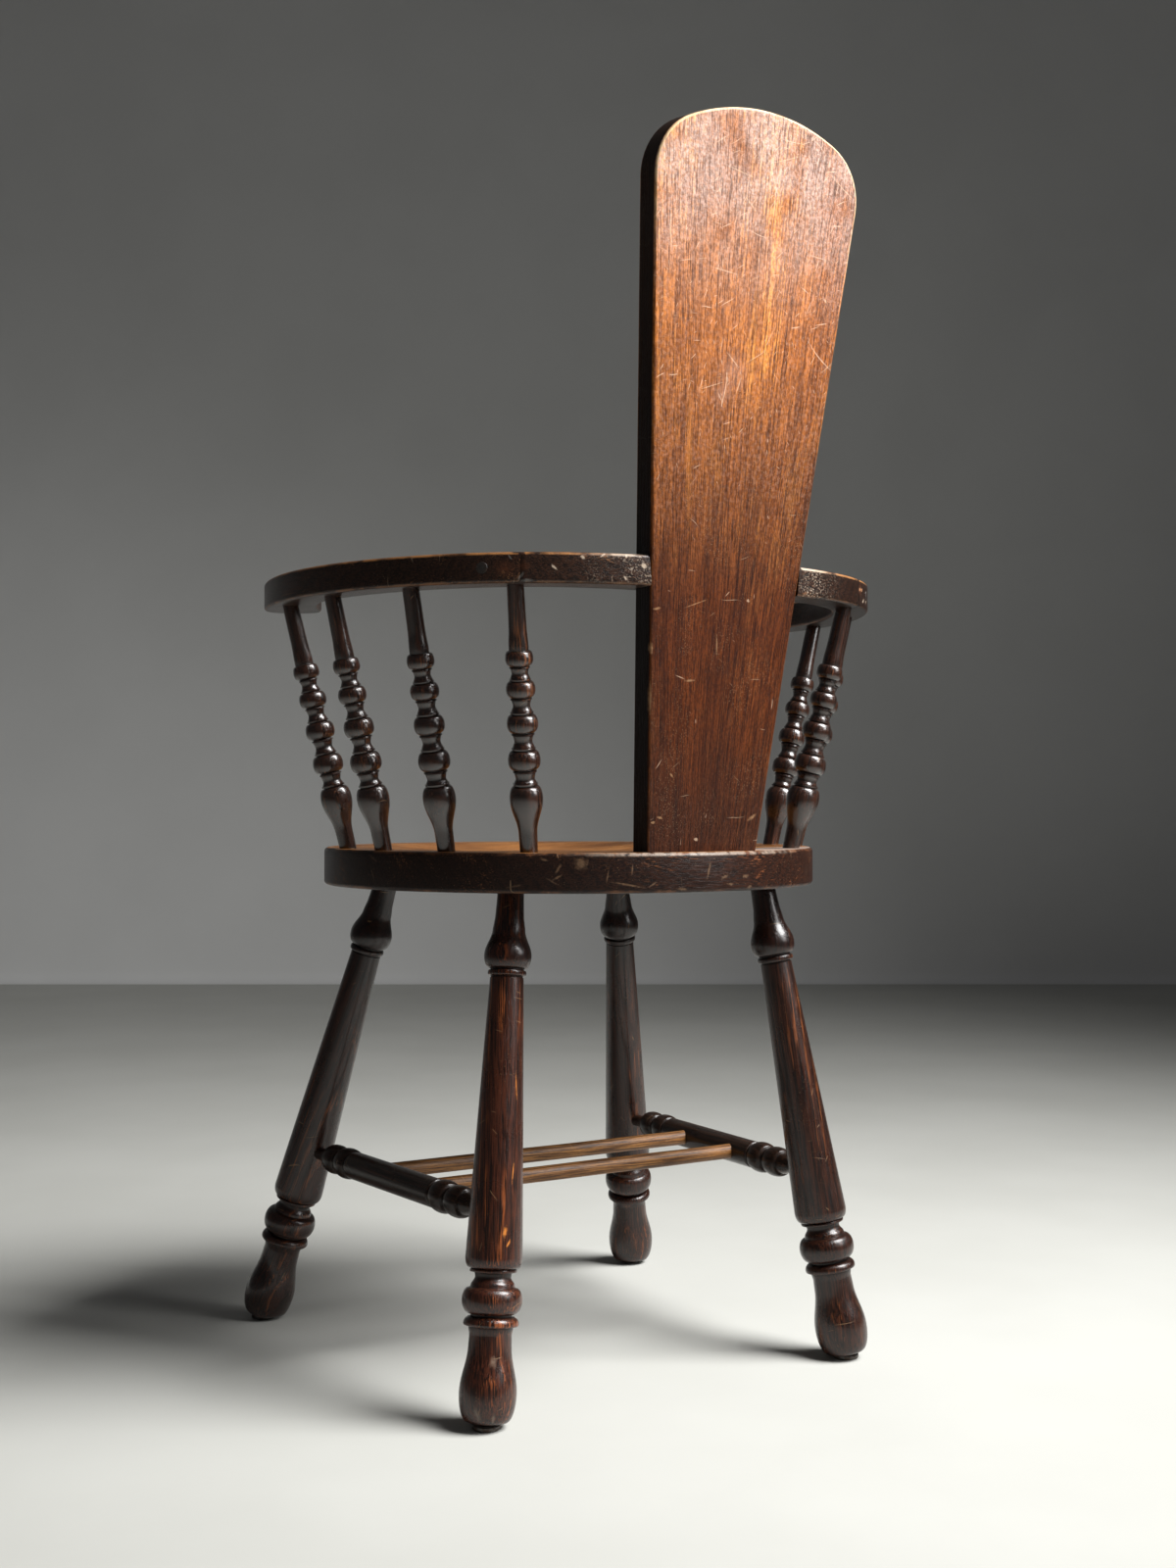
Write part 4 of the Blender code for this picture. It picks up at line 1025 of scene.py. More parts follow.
# %% Steel finish and glides
def old_steel(name, clean, rust, rough):
    """Old steel with brown patches and a fine grain."""
    material, tree = new_material(name)
    place = put(tree, "TexCoord", gives="Object")
    patches = ease(cloud(place, 320, 4), 0.42, 0.6)
    ripple = put(tree, "Bump", {"Height": cloud(place, 1500, 2), "Strength": 0.3, "Distance": 0.0002})
    shader = put(tree, "BsdfPrincipled", {
        "Base Color": tint(patches, clean, rust), "Metallic": patches * -0.7 + 0.95,
        "Roughness": patches * 0.3 + rough, "Normal": ripple})
    put(tree, "OutputMaterial", {"Surface": shader})
    return material


glide_steel = old_steel("glide_steel", rgb(0.10, 0.095, 0.09), rgb(0.05, 0.03, 0.02), 0.4)
GLIDE_SIDES = 40
GLIDE_PROFILE = ((0.0, 8.6, STRAIGHT), (1.6, 11.2, TO_CREST), (3.2, 11.2, STRAIGHT),
                 (4.0, 10.4, FROM_CREST), (4.6, 9.8, STRAIGHT))
for end, side in CORNERS:
    shape = lathe(f"steel_glide_{end}_{side}", turning(GLIDE_PROFILE), GLIDE_SIDES)
    add_piece(f"steel_glide_{end}_{side}", shape, glide_steel, f"foot_glide_{end}_{side}",
              Matrix.Translation(glide_middle(end, side, 0.0)))
print(len(CORNERS), "glides")

# %% [markdown]
# ## Seat shape
#
# The seat is a thick round board with a shallow dish inside a flat rim. It could be carved from a
# cylinder, but its section is the same all round, so it is spun like the legs.

# %% Seat mesh
SEAT_EDGE = 3.6             # radius of the rounded arris, in mm like the next seven
SEAT_RIM = 36
RIM_LOOPS = (8, 14, 20, 28)
UNDER_LOOP = 12
DISH_SLOPE = 70
DISH_DEPTH = 6
DISH_FLAT = 60              # radius of a loop on the dish's floor
SEAT_HUB = 8                # the profile ends at this radius and a flat face closes it
SEAT_EDGE_STEPS, DISH_STEPS = 7, 14
SEAT_SIDES = 160

radius = 1000 * SEAT_RADIUS
thick = 1000 * SEAT_THICKNESS
lower_edge = []
for step in range(SEAT_EDGE_STEPS + 1):
    turn = step / SEAT_EDGE_STEPS * math.pi / 2
    lower_edge.append((radius - SEAT_EDGE * (1 - math.sin(turn)), SEAT_EDGE * (1 - math.cos(turn))))
seat_points = [(SEAT_HUB, 0), (radius / 2, 0), (radius - UNDER_LOOP, 0), *lower_edge]
seat_points += [(out, thick - height) for out, height in reversed(lower_edge)]
seat_points += [(radius - inset, thick) for inset in RIM_LOOPS]
for step in range(DISH_STEPS + 1):
    part = step / DISH_STEPS
    seat_points.append((radius - SEAT_RIM - DISH_SLOPE * part,
                        thick - DISH_DEPTH * (1 - math.cos(part * math.pi)) / 2))
seat_points += [(out, thick - DISH_DEPTH) for out in (DISH_FLAT, SEAT_HUB)]
seat_mesh = lathe("dished_seat", np.array(seat_points) / 1000, SEAT_SIDES)
print("seat:", len(seat_mesh.vertices), "vertices")

# %% [markdown]
# ## Worn arris of the seat
#
# The seat's edge is dented and worn unevenly. Sculpting would do it by hand, but it couldn't be
# repeated. Noise moves the edge in by fractions of a millimetre instead, and how near a point lies to
# an arris becomes its proud value, which takes the place of the lathe's own.

# %% Seat arris
ARRIS_REACH = 0.004         # the proud value falls off over about this distance from an arris
ARRIS_GAIN = 1.6
RIM_BAND = 0.03             # a point further in than this counts as FAR_LEVEL from an arris
FAR_LEVEL = 0.02
DENT_BAND = 0.009           # only points so near the rim are moved
DENT_DEPTH = 0.0009
DENT_SCALE = 60
DENT_FLOOR = 0.1            # noise below this leaves no dent

edge_values = []
for vertex in seat_mesh.vertices:
    out = vertex.co.xy.length
    from_rim = SEAT_RADIUS - out
    level = min(vertex.co.z, SEAT_THICKNESS - vertex.co.z) if from_rim < RIM_BAND else FAR_LEVEL
    nearness = math.exp(-(max(from_rim, 0) + max(level, 0)) / ARRIS_REACH)
    edge_values.append(min(1.0, ARRIS_GAIN * nearness))
    if from_rim < DENT_BAND:
        dent = DENT_DEPTH * max(0.0, noise.noise(DENT_SCALE * vertex.co) - DENT_FLOOR) * nearness
        vertex.co.xy *= 1 - dent / out
keep_proud(seat_mesh, edge_values)
print("arris:", sum(value > 0.5 for value in edge_values), "points stand proud")

# %% [markdown]
# ## Seat colours and dings
#
# Sitters have rubbed the top to orange brown, while the edge is nearly black and carries single pale
# dings. Two materials could share the mesh, but their border would be a hard line. One material with
# masks lets the colours run into each other: height and distance from the middle find the top, and the
# dings are placed on the edge unrolled into a strip.

# %% Seat finish
def on_seat_rim(height):
    """1 on the flat rim of the top."""
    return ease(height, SEAT_THICKNESS - 0.0004, SEAT_THICKNESS - 0.0001)


def seat_ground(here, colour):
    """Rubbed orange-brown top over the near-black edge, which is redder on the right behind the sitter."""
    _, height, sideways = split(here)
    out = span(vector("MULTIPLY", here, (1, 0, 1)))
    in_dish = (ease(height, 0.5 * SEAT_THICKNESS, 0.6 * SEAT_THICKNESS)
               * fade(out, SEAT_RADIUS - 0.012, SEAT_RADIUS - 0.006))
    colour = tint(fade(sideways, -0.04, 0.11), colour, rgb(1.7, 1.2, 0.9), 0.6, "MULTIPLY")
    rubbed = tint(ease(cloud(here, 30, 4, (1, 1, 0.3)), 0.3, 0.7), rgb(0.165, 0.06, 0.014),
                  rgb(0.44, 0.185, 0.05))
    lines = ease(cloud(here, 420, 3, (1, 1, 0.02)), 0.35, 0.65)
    rubbed = tint(lines, rubbed, rgb(0.55, 0.45, 0.40), 0.6, "MULTIPLY")
    return tint(calc("MAXIMUM", on_seat_rim(height), in_dish), colour, rubbed, 0.9)


SCUFF = (rgb(0.15, 0.088, 0.05), 0.66, 0.9)
FAINT = (rgb(0.085, 0.05, 0.03), 0.6, 0.8)
# Each mark: its place round the rear edge and up it, half its width and height in mm, its lean and its kind
SEAT_MARKS = (
    (109, 24, 7, 6, 0, SCUFF), (132, 10, 1, 9, 60, FAINT), (127, 20, 1.5, 6, -30, SCUFF),
    (128, 13, 1.3, 6, -60, SCUFF), (88, 14, 0.8, 8, -10, SCUFF), (68, 19, 0.9, 5.5, -5, SCUFF),
    (71, 7, 1.2, 17, 80, SCUFF), (51, 7, 1, 5, -60, SCUFF), (25, 3, 1.7, 6, 85, SCUFF),
    (0, 18, 1.4, 9, -15, SCUFF), (-16, 12, 1.7, 5, -75, SCUFF), (-39, 12, 2, 5, -85, SCUFF),
    (-22, 6, 1.3, 4.5, 85, SCUFF), (-44, 3, 2, 3.5, -70, SCUFF), (300, 26, 1.6, 8, 60, FAINT),
    (301, 13, 1.2, 7, 25, FAINT), (162, 6, 1.2, 9, -80, FAINT), (138, 27, 1.4, 4, 80, SCUFF))


def seat_marks(here, proud, colour):
    """Single dings, a painted reflection on the rim right of the plank and a pale arris behind it."""
    backward, height, sideways = split(here)
    arc = calc("ARCTAN2", sideways, backward) * SEAT_RADIUS
    colour = lay_marks(combine(arc, 0.0, height), colour, SEAT_MARKS)
    # Painted reflection: the flat rim right of the plank is painted pale grey where it catches the light
    rim_reflection = on_seat_rim(height) * fade(sideways, -0.075, -0.045) * ease(backward, 0.10, 0.14)
    colour = tint(rim_reflection, colour, rgb(0.30, 0.25, 0.22), 0.7)
    upper = ease(height, SEAT_THICKNESS - 0.0045, SEAT_THICKNESS - 0.0020)
    pale = fade(calc("ABSOLUTE", arc), 0.06, 0.13) * upper * ease(proud, 0.6, 0.9)
    return tint(pale * ease(cloud(here, 130, 3), 0.38, 0.55), colour, rgb(0.40, 0.31, 0.24), 0.5)


seat_wood = varnished_wood(
    "seat_varnish", stain=rgb(0.009, 0.0050, 0.0041), wood=rgb(0.022, 0.0095, 0.006),
    worn=rgb(0.16, 0.066, 0.027), bare=rgb(0.40, 0.25, 0.14), heart=(0.05, 0.09), spin=0.0,
    ring_width=0.006, wander=0.015, wear=0.04, rub=0.26, chips=0.22, scratch=0.15, gloss=0.36, shine=0.2,
    coat=0.04, ground=seat_ground, marks=seat_marks)
print("seat finish with", len(SEAT_MARKS), "single dings")

# %% [markdown]
# ## Seat in its place
#
# The grain runs from side to side, so the object's own Z is laid along the chair's X. The mesh is
# turned back by the same amount, so that the seat itself stays level.

# %% Seat piece
GRAIN_SIDEWAYS = Matrix(((0, 0, 1, 0), (1, 0, 0, 0), (0, 1, 0, 0), (0, 0, 0, 1)))
seat_mesh.transform(GRAIN_SIDEWAYS.inverted())
seat = add_piece("dished_seat", seat_mesh, seat_wood, "seat_board",
                 Matrix.Translation((0, SEAT_Y, SEAT_UNDERSIDE)) @ GRAIN_SIDEWAYS)
print("seat on its underside at", round(1000 * SEAT_UNDERSIDE), "mm")

# %% [markdown]
# ## Sawn pieces with rounded edges
#
# The plank and the three parts of the bow are boards: an outline with a thickness. A Bevel modifier
# could round their edges, but it would not say which points lie on an arris. Each board is built from
# loops instead: the outline moved inwards on one face, round the edge in an arc, up the side, round the
# other edge and inwards again. The loops near an arris carry the proud value, so that wear finds the
# edges.

# %% Board helpers
EDGE_STEPS = 5
EDGE_BLEND = 0.004          # the proud value ends this far from the rounded edge


def moved_in(outline, inset):
    """The outline, which runs anticlockwise, moved inwards with mitred corners."""
    before = outline - np.roll(outline, 1, axis=0)
    after = np.roll(outline, -1, axis=0) - outline
    normals = []
    for way in (before, after):
        unit = way / np.linalg.norm(way, axis=1, keepdims=True)
        normals.append(np.stack([-unit[:, 1], unit[:, 0]], 1))
    mitre = 1 + (normals[0] * normals[1]).sum(1, keepdims=True)
    return outline + inset * (normals[0] + normals[1]) / np.maximum(mitre, 0.5)


def board(name, outline, thickness, edge, deep):
    """A closed board with its lower face on z = 0. deep is how far the innermost loops lie inside. The two
    faces are closed like ladders, from each point to its partner across the board."""
    half = [(deep, 0.0, 0.0), (edge + EDGE_BLEND, 0.0, 0.2)]
    for step in range(EDGE_STEPS + 1):
        turn = step / EDGE_STEPS * math.pi / 2
        proud = 0.45 + 0.55 * math.sin(2 * turn)
        half.append((edge * (1 - math.sin(turn)), edge * (1 - math.cos(turn)), proud))
    half.append((0.0, edge + EDGE_BLEND, 0.2))
    loops = half + [(0.0, thickness / 2, 0.0)]
    loops += [(inset, thickness - height, proud) for inset, height, proud in reversed(half)]
    count = len(outline)
    points = [np.column_stack([moved_in(outline, inset), np.full(count, height)])
              for inset, height, _ in loops]
    faces = band_faces(len(loops), count)
    last = (len(loops) - 1) * count
    for place in range((count - 1) // 2):
        rung = list(dict.fromkeys((place, place + 1, count - 2 - place, count - 1 - place)))
        faces.append(tuple(reversed(rung)))
        faces.append(tuple(last + corner for corner in rung))
    mesh = smooth_mesh(name, np.concatenate(points), faces)
    keep_proud(mesh, np.repeat([proud for *_, proud in loops], count))
    return mesh


def spread(start, end, step):
    """Values from start to end, evenly, about a step apart."""
    count = max(1, round(abs(end - start) / step))
    return [start + (end - start) * index / count for index in range(count + 1)]


print("board helpers ready")

# %% [markdown]
# ## Plank shape
#
# The plank widens upwards and ends in a crown: a flat arc over two rounder corners. Each corner arc
# touches the straight side and the crown's circle, which fixes its middle, so the outline has no kink
# whatever the sizes. The plank leans back, and its outline is drawn in its own face with Z up the
# slope.

# %% Plank outline and mesh
PLANK_SET_IN = 0.0085       # from the seat's rear edge to the plank's back
PLANK_BACK = SEAT_Y + SEAT_RADIUS - PLANK_SET_IN
PLANK_RECLINE = math.radians(8.5)
PLANK_FLARE = math.radians(4.773)
PLANK_FOOT_WIDTH = 0.107
PLANK_LENGTH = 0.581
PLANK_THICKNESS = 0.0232
PLANK_EDGE = 0.0022
PLANK_DEEP = 0.012
CROWN_RADIUS = 0.165
CORNER_RADIUS = 0.048
PLANK_BELOW = 0.012         # the foot ends this far under the seat's top
FOOT_CLEAR = 0.014          # no outline points so near the foot's corners that the inner loops would cross


def plank_outline(grow=0.0, step=0.006):
    """Outline of the plank's face as (across, up) points, anticlockwise."""
    along = Vector((math.sin(PLANK_FLARE), math.cos(PLANK_FLARE)))
    inwards = Vector((-math.cos(PLANK_FLARE), math.sin(PLANK_FLARE)))
    foot = Vector((PLANK_FOOT_WIDTH / 2, 0)) - inwards * grow
    corner, crown = CORNER_RADIUS + grow, CROWN_RADIUS + grow
    crown_middle = Vector((0, PLANK_LENGTH - CROWN_RADIUS))
    start = foot + inwards * corner - crown_middle
    half = start.dot(along)
    run = -half + math.sqrt(half * half - start.dot(start) + (crown - corner) ** 2)
    corner_middle = crown_middle + start + along * run
    turn_end = math.atan2(corner_middle.y - crown_middle.y, corner_middle.x - crown_middle.x)
    side_end = corner_middle - inwards * corner
    low = foot - along * (PLANK_BELOW / along.y)
    first = low + along * FOOT_CLEAR
    rise = side_end - first
    side = [low] + [first + rise * part for part in spread(0, 1, step / rise.length)]
    rounded = [corner_middle + corner * Vector((math.cos(turn), math.sin(turn)))
               for turn in spread(-PLANK_FLARE, turn_end, step / corner)]
    top = [crown_middle + crown * Vector((math.cos(turn), math.sin(turn)))
           for turn in spread(turn_end, math.pi - turn_end, step / crown)]
    half_outline = side[:-1] + rounded[:-1]
    mirrored = [Vector((-point.x, point.y)) for point in reversed(half_outline)]
    return np.array(half_outline + top + mirrored)


UPRIGHT = Matrix.Rotation(math.pi / 2, 4, "X")
plank_mesh = board("crowned_plank", plank_outline(), PLANK_THICKNESS, PLANK_EDGE, PLANK_DEEP)
plank_mesh.transform(UPRIGHT)
print("plank:", len(plank_mesh.vertices), "vertices")

# %% [markdown]
# ## Plank colours
#
# Hands have worn the upper half lighter and orange, while the foot stayed dark red brown; part of the
# lighter top is painted light falloff, and the hazy crown is partly bloom in the varnish and partly
# painted sheen. The grain fans out as the plank widens. A gradient alone would be too even, so height
# is first roughened by a wide noise, and broad streaks, a milky bloom with painted sheen and a frosted
# painted sheen with bloom at the crown lie over it.

# %% Plank ground
FAN_WIDTH = 0.08            # half width that the fanned grain is drawn for


def fanned(here):
    """Coordinates whose upright lines spread upwards as the plank's sides do."""
    across, depth, up = split(here)
    half_width = up * math.tan(PLANK_FLARE) + PLANK_FOOT_WIDTH / 2
    return combine(across / half_width * FAN_WIDTH, depth, up)


def plank_ground(here, colour):
    """Lighter and more orange upwards, partly painted light falloff, with painted sheen and bloom at the
    crown, dark at the foot and low on the left.
    """
    across, _, up = split(here)
    uneven = up + (cloud(here, 9, 3) - 0.5) * 0.16
    # Lighter upwards: partly the finish, partly painted light falloff down the plank
    light = ease(uneven, 0.18, 0.52)
    broad = ease(cloud(fanned(here), 60, 3, (1, 1, 0.05)), 0.3, 0.7)
    colour = dyed(colour, tint(broad, rgb(0.78, 0.72, 0.68), rgb(1.32, 1.27, 1.12)))
    top = dyed(colour, rgb(5.9, 8.0, 7.2))
    colour = tint(ease(across, 0.0, 0.06), colour, rgb(0.62, 0.58, 0.58), 0.5, "MULTIPLY")
    colour = tint(light, colour, top)
    colour = tint(fade(across, -0.085, -0.02) * light, colour, rgb(0.80, 0.74, 0.72), way="MULTIPLY")
    colour = tint(fade(uneven, 0.0, 0.14), colour, rgb(0.030, 0.014, 0.010), 0.5)
    # Painted sheen with bloom: a milky veil over the upper plank
    milky_bloom_and_sheen = ease(up, 0.20, 0.34) * ease(cloud(here, 300, 4), 0.42, 0.66)
    colour = tint(milky_bloom_and_sheen, colour, rgb(0.56, 0.37, 0.30), 0.16)
    # Painted sheen with bloom at the crown, broken up by a fine frosting
    crown_bloom_and_sheen = ease(up, 0.40, 0.55) * ease(cloud(here, 24, 5), 0.24, 0.58)
    frosted_sheen = ease(cloud(here, 420, 3), 0.38, 0.6) * 0.4 + 0.42
    return tint(crown_bloom_and_sheen * frosted_sheen, colour, rgb(0.62, 0.45, 0.385))


print("plank ground ready")

# %% [markdown]
# ## Plank damage
#
# The back face has pale scratches at the crown, a scuffed patch below it and tan nicks low down, all
# known one by one, and hairlines too many to count. The first are single marks and the hairlines are
# four layers of the scratch group, denser upwards. The sides are painted nearly black as painted shade,
# and the arris round the crown is rubbed to gold.

# %% Plank marks and piece
HAIR = rgb(0.86, 0.60, 0.42)
HAIR_LAYERS = ((0.045, 1.3, 0.0006), (0.024, 5.1, 0.00048), (0.013, 2.2, 0.00036), (0.006, 3.9, 0.00028))
TAN = (rgb(0.36, 0.20, 0.10), 0.6, 0.8)
PALE = (rgb(0.80, 0.56, 0.38), 0.42, 0.8)
GREYED = (rgb(0.52, 0.31, 0.24), 0.36, 1.6)
ORANGE = (rgb(0.62, 0.22, 0.04), 0.4, 1.3)
# Each mark: its place across and up the plank, half its width and height in mm, its lean and its kind
PLANK_MARKS = (
    (46, 320, 5, 90, 5, ORANGE), (10, 382, 20, 24, 30, GREYED), (19, 364, 14, 16, -25, GREYED),
    (64, 193, 1.5, 4.5, -80, TAN), (27, 138, 1.3, 6, -85, TAN), (66, 162, 2, 5.5, 5, TAN),
    (63, 122, 1.2, 16, 5, TAN), (4, 167, 0.8, 11, 5, TAN), (37, 62, 1.1, 4, 45, TAN),
    (45, 28, 1.3, 3.5, 75, TAN), (51, 24, 1.5, 3, 90, TAN), (-46, 28, 1.8, 6, -55, TAN),
    (8, 10, 1.6, 3, 75, PALE), (-23, 204, 1.6, 2, 45, PALE), (27, 199, 0.6, 14, -70, TAN),
    (39, 553, 0.6, 10, -55, PALE), (-5, 560, 0.8, 6, 75, PALE), (20, 532, 0.7, 20, 80, PALE),
    (8, 510, 0.7, 13, 50, PALE), (-23, 548, 0.7, 21, -70, PALE), (1, 545, 1.4, 9, 0, PALE),
    (-18, 536, 1.4, 11, 0, PALE), (63, 459, 0.7, 9, -75, PALE), (26, 456, 0.7, 17, 85, PALE),
    (-62, 479, 0.7, 12, 85, PALE), (-73, 447, 1.1, 3.5, 50, PALE), (38, 515, 0.7, 6, -50, PALE),
    (12, 390, 0.7, 11, 50, PALE), (16, 376, 0.9, 8, 10, PALE), (4, 372, 0.8, 10, -15, PALE),
    (21, 360, 0.8, 7, 35, PALE), (30, 368, 0.6, 16, -70, PALE))


def plank_marks(here, proud, colour):
    """Hairlines, painted shade that makes the sides nearly black, a gold arris round the crown, and single
    marks on the back face.
    """
    _, depth, up = split(here)
    share = ease(up, 0.26, 0.50) * 0.7 + 0.03
    for spacing, seed, width in HAIR_LAYERS:
        shifted = vector("ADD", here, (seed, seed, seed))
        hairs = use(scratch_group, Place=shifted, Spacing=spacing, Width=width, Share=share)
        colour = tint(hairs["Mask"], colour, HAIR, 0.5)
    # Painted shade: the side faces are painted nearly black
    into = calc("ABSOLUTE", depth + PLANK_THICKNESS / 2)
    side = fade(into, PLANK_THICKNESS / 2 - 0.003, PLANK_THICKNESS / 2 - 0.001)
    colour = tint(side, colour, rgb(0.006, 0.0045, 0.0045), 0.95)
    gold = ease(proud, 0.5, 0.95) * ease(up, 0.44, 0.56) * ease(cloud(here, 70, 3), 0.25, 0.55)
    colour = tint(gold, colour, rgb(0.90, 0.66, 0.38), 0.8)
    return tint(ease(depth, -0.004, -0.0024), colour, lay_marks(here, colour, PLANK_MARKS))


plank_wood = varnished_wood(
    "plank_varnish", stain=rgb(0.050, 0.0115, 0.0029), wood=rgb(0.107, 0.027, 0.0063),
    worn=rgb(0.146, 0.0435, 0.010), bare=rgb(0.55, 0.36, 0.20), heart=(-0.03, 0.13), spin=0.0,
    ring_width=0.0036, wander=0.012, rub=0.3, chips=0.22, scratch=0.1, dust=0.3, pores=0.6, stipple_and_sparkle=0.62,
    gloss=0.38, shine=0.14, coat=0.0, bump=0.5, crackle=0.5, run=fanned, ground=plank_ground,
    marks=plank_marks)
PLANK_PLACE = Matrix.Translation((0, PLANK_BACK, SEAT_TOP)) @ Matrix.Rotation(-PLANK_RECLINE, 4, "X")
add_piece("crowned_plank", plank_mesh, plank_wood, "back_plank", PLANK_PLACE)
print("plank finish with", len(PLANK_MARKS), "single marks")

# %% [markdown]
# ## Arm bow in plan
#
# The bow is sawn from three boards: a rail behind the sitter and two arms, joined by long upright
# scarfs. Its outer face is an arc that flattens behind the plank until it is flush with the plank's
# edges, and the rail swells inwards so that a strip of wood is left before the plank. A bent curve with
# a section could follow the arc, but its width couldn't change so freely. The depth of the flat and of
# the swell are worked out from where the plank passes through.

# %% Bow plan
BOW_FORWARD = 0.004         # the bow's centre lies this far before the seat's
BOW_Y = SEAT_Y - BOW_FORWARD
BOW_RADIUS = 0.2703
BOW_WIDTH = 0.032
BOW_FLAT_REACH = math.radians(50)
RAIL_STRIP = 0.011
SCARF_OUTER = math.radians(38.5)
SCARF_INNER = math.radians(56)


def rounded_step(angle, reach):
    """1 at angle zero, falling smoothly to 0 at the reach."""
    return (1 + math.cos(min(abs(angle) / reach, 1) * math.pi)) / 2


def plank_back_at(z):
    """Place of the plank's back face behind the bow's centre at a height over the floor."""
    return PLANK_BACK + (z - SEAT_TOP) * math.tan(PLANK_RECLINE) - BOW_Y


bow_middle = BOW_UNDERSIDE + BOW_THICKNESS / 2
edge_x = PLANK_FOOT_WIDTH / 2 + (bow_middle - SEAT_TOP) / math.cos(PLANK_RECLINE) * math.tan(PLANK_FLARE)
edge_y = plank_back_at(bow_middle)
at_edge = rounded_step(math.atan2(edge_x, edge_y), BOW_FLAT_REACH)
FLAT_DEPTH = (BOW_RADIUS - math.hypot(edge_x, edge_y)) / at_edge
plank_front = plank_back_at(BOW_UNDERSIDE) - PLANK_THICKNESS / math.cos(PLANK_RECLINE)
RAIL_SWELL = BOW_RADIUS - FLAT_DEPTH - BOW_WIDTH - (plank_front - RAIL_STRIP)


def bow_outer(angle):
    """Radius of the bow's outer face."""
    return BOW_RADIUS - FLAT_DEPTH * rounded_step(angle, BOW_FLAT_REACH)


def bow_inner(angle):
    """Radius of the rail's inner face."""
    return bow_outer(angle) - BOW_WIDTH - RAIL_SWELL * rounded_step(angle, SCARF_OUTER)


def bow_point(angle, radius):
    """Plan point about the bow's centre, at an angle from the middle of the back towards +X."""
    return (radius * math.sin(angle), radius * math.cos(angle))


print(f"bow flattened by {1000 * FLAT_DEPTH:.1f} mm, rail swelling {1000 * RAIL_SWELL:.1f} mm inwards")

# %% [markdown]
# ## Outlines of rail and arms
#
# The arms widen to rounded pads. A pad's end is a superellipse, which is fuller than a half circle.
# Rail and arms are drawn longer than they are, past the scarfs, and are cut to length afterwards.

# %% Rail and arm outlines
BOW_STEP = math.radians(1.2)
SCARF_OVERRUN = math.radians(8)
ARM_END = math.radians(115)
ARM_PAD_START = math.radians(86)
ARM_PAD_WIDTH = 0.051
ARM_TIP = 0.024
ARM_TIP_POWER = 2.5
ARM_TIP_STEPS = 16


def arm_outline(side):
    """Plan outline of an arm from its scarf to its rounded pad."""
    tip = ARM_TIP / BOW_RADIUS
    stations = [(angle, 1.0) for angle in spread(SCARF_OUTER - SCARF_OVERRUN, ARM_END - tip, BOW_STEP)]
    for step in range(1, ARM_TIP_STEPS + 1):
        turn = step / ARM_TIP_STEPS * math.pi / 2
        stations.append((ARM_END - tip * (1 - math.sin(turn) ** (2 / ARM_TIP_POWER)),
                         max(math.cos(turn), 0) ** (2 / ARM_TIP_POWER)))
    outer, inner = [], []
    for angle, across in stations:
        pad = 1 - rounded_step(max(angle - ARM_PAD_START, 0), ARM_END - ARM_PAD_START)
        half = (BOW_WIDTH + pad * (ARM_PAD_WIDTH - BOW_WIDTH)) / 2
        middle = bow_outer(angle) - half
        outer.append(bow_point(angle, middle + half * across))
        inner.append(bow_point(angle, middle - half * across))
    outline = np.array(outer[:-1] + inner[::-1])
    return outline[::-1] if side == 1 else outline * (-1, 1)


def rail_outline():
    """Plan outline of the back rail."""
    reach = SCARF_INNER + SCARF_OVERRUN
    angles = spread(-reach, reach, BOW_STEP)
    outline = [bow_point(angle, bow_inner(angle)) for angle in angles]
    outline += [bow_point(angle, bow_outer(angle)) for angle in reversed(angles)]
    return np.array(outline)


print("outlines of", len(arm_outline(1)), "and", len(rail_outline()), "points")

# %% [markdown]
# ## Cutting
#
# Scarfs, the notch for the plank and the holes of screws are cut as a joiner would, after the board is
# shaped. A Boolean modifier takes away a tool's shape, and its result is kept as the mesh. Working the
# cut into the loops of a board would be far harder. The scarf's tool is a block on one side of the
# joint's plane.

# %% Cutting helpers
SCARF_GAP = 0.0004
SCARF_BEFORE, SCARF_AFTER, SCARF_SIDE, SCARF_OVER = 0.08, 0.06, 0.1, 0.01       # reach of the block


def prism(name, plan, low, high):
    """A block with four corners in plan, between two heights."""
    mesh = bpy.data.meshes.new(name)
    mesh.from_pydata([(x, y, height) for height in (low, high) for x, y in plan], [], [
        (3, 2, 1, 0), (4, 5, 6, 7), (0, 1, 5, 4), (1, 2, 6, 5), (2, 3, 7, 6), (3, 0, 4, 7)])
    return mesh


def scarf_block(side, towards):
    """Block that ends a piece at a scarf. It lies on the arm's side of the joint, 1, or the rail's, -1."""
    outer = Vector(bow_point(SCARF_OUTER, bow_outer(SCARF_OUTER)))
    inner = Vector(bow_point(SCARF_INNER, bow_inner(SCARF_INNER)))
    along = (inner - outer).normalized()
    normal = Vector((-along.y, along.x)) * towards
    start, end = outer - along * SCARF_BEFORE, inner + along * SCARF_AFTER
    near, far = normal * -SCARF_GAP / 2, normal * SCARF_SIDE
    plan = [(side * point.x, point.y) for point in (start + near, end + near, end + far, start + far)]
    if side * towards < 0:
        plan.reverse()
    return prism("scarf_block", plan, -SCARF_OVER, BOW_THICKNESS + SCARF_OVER)


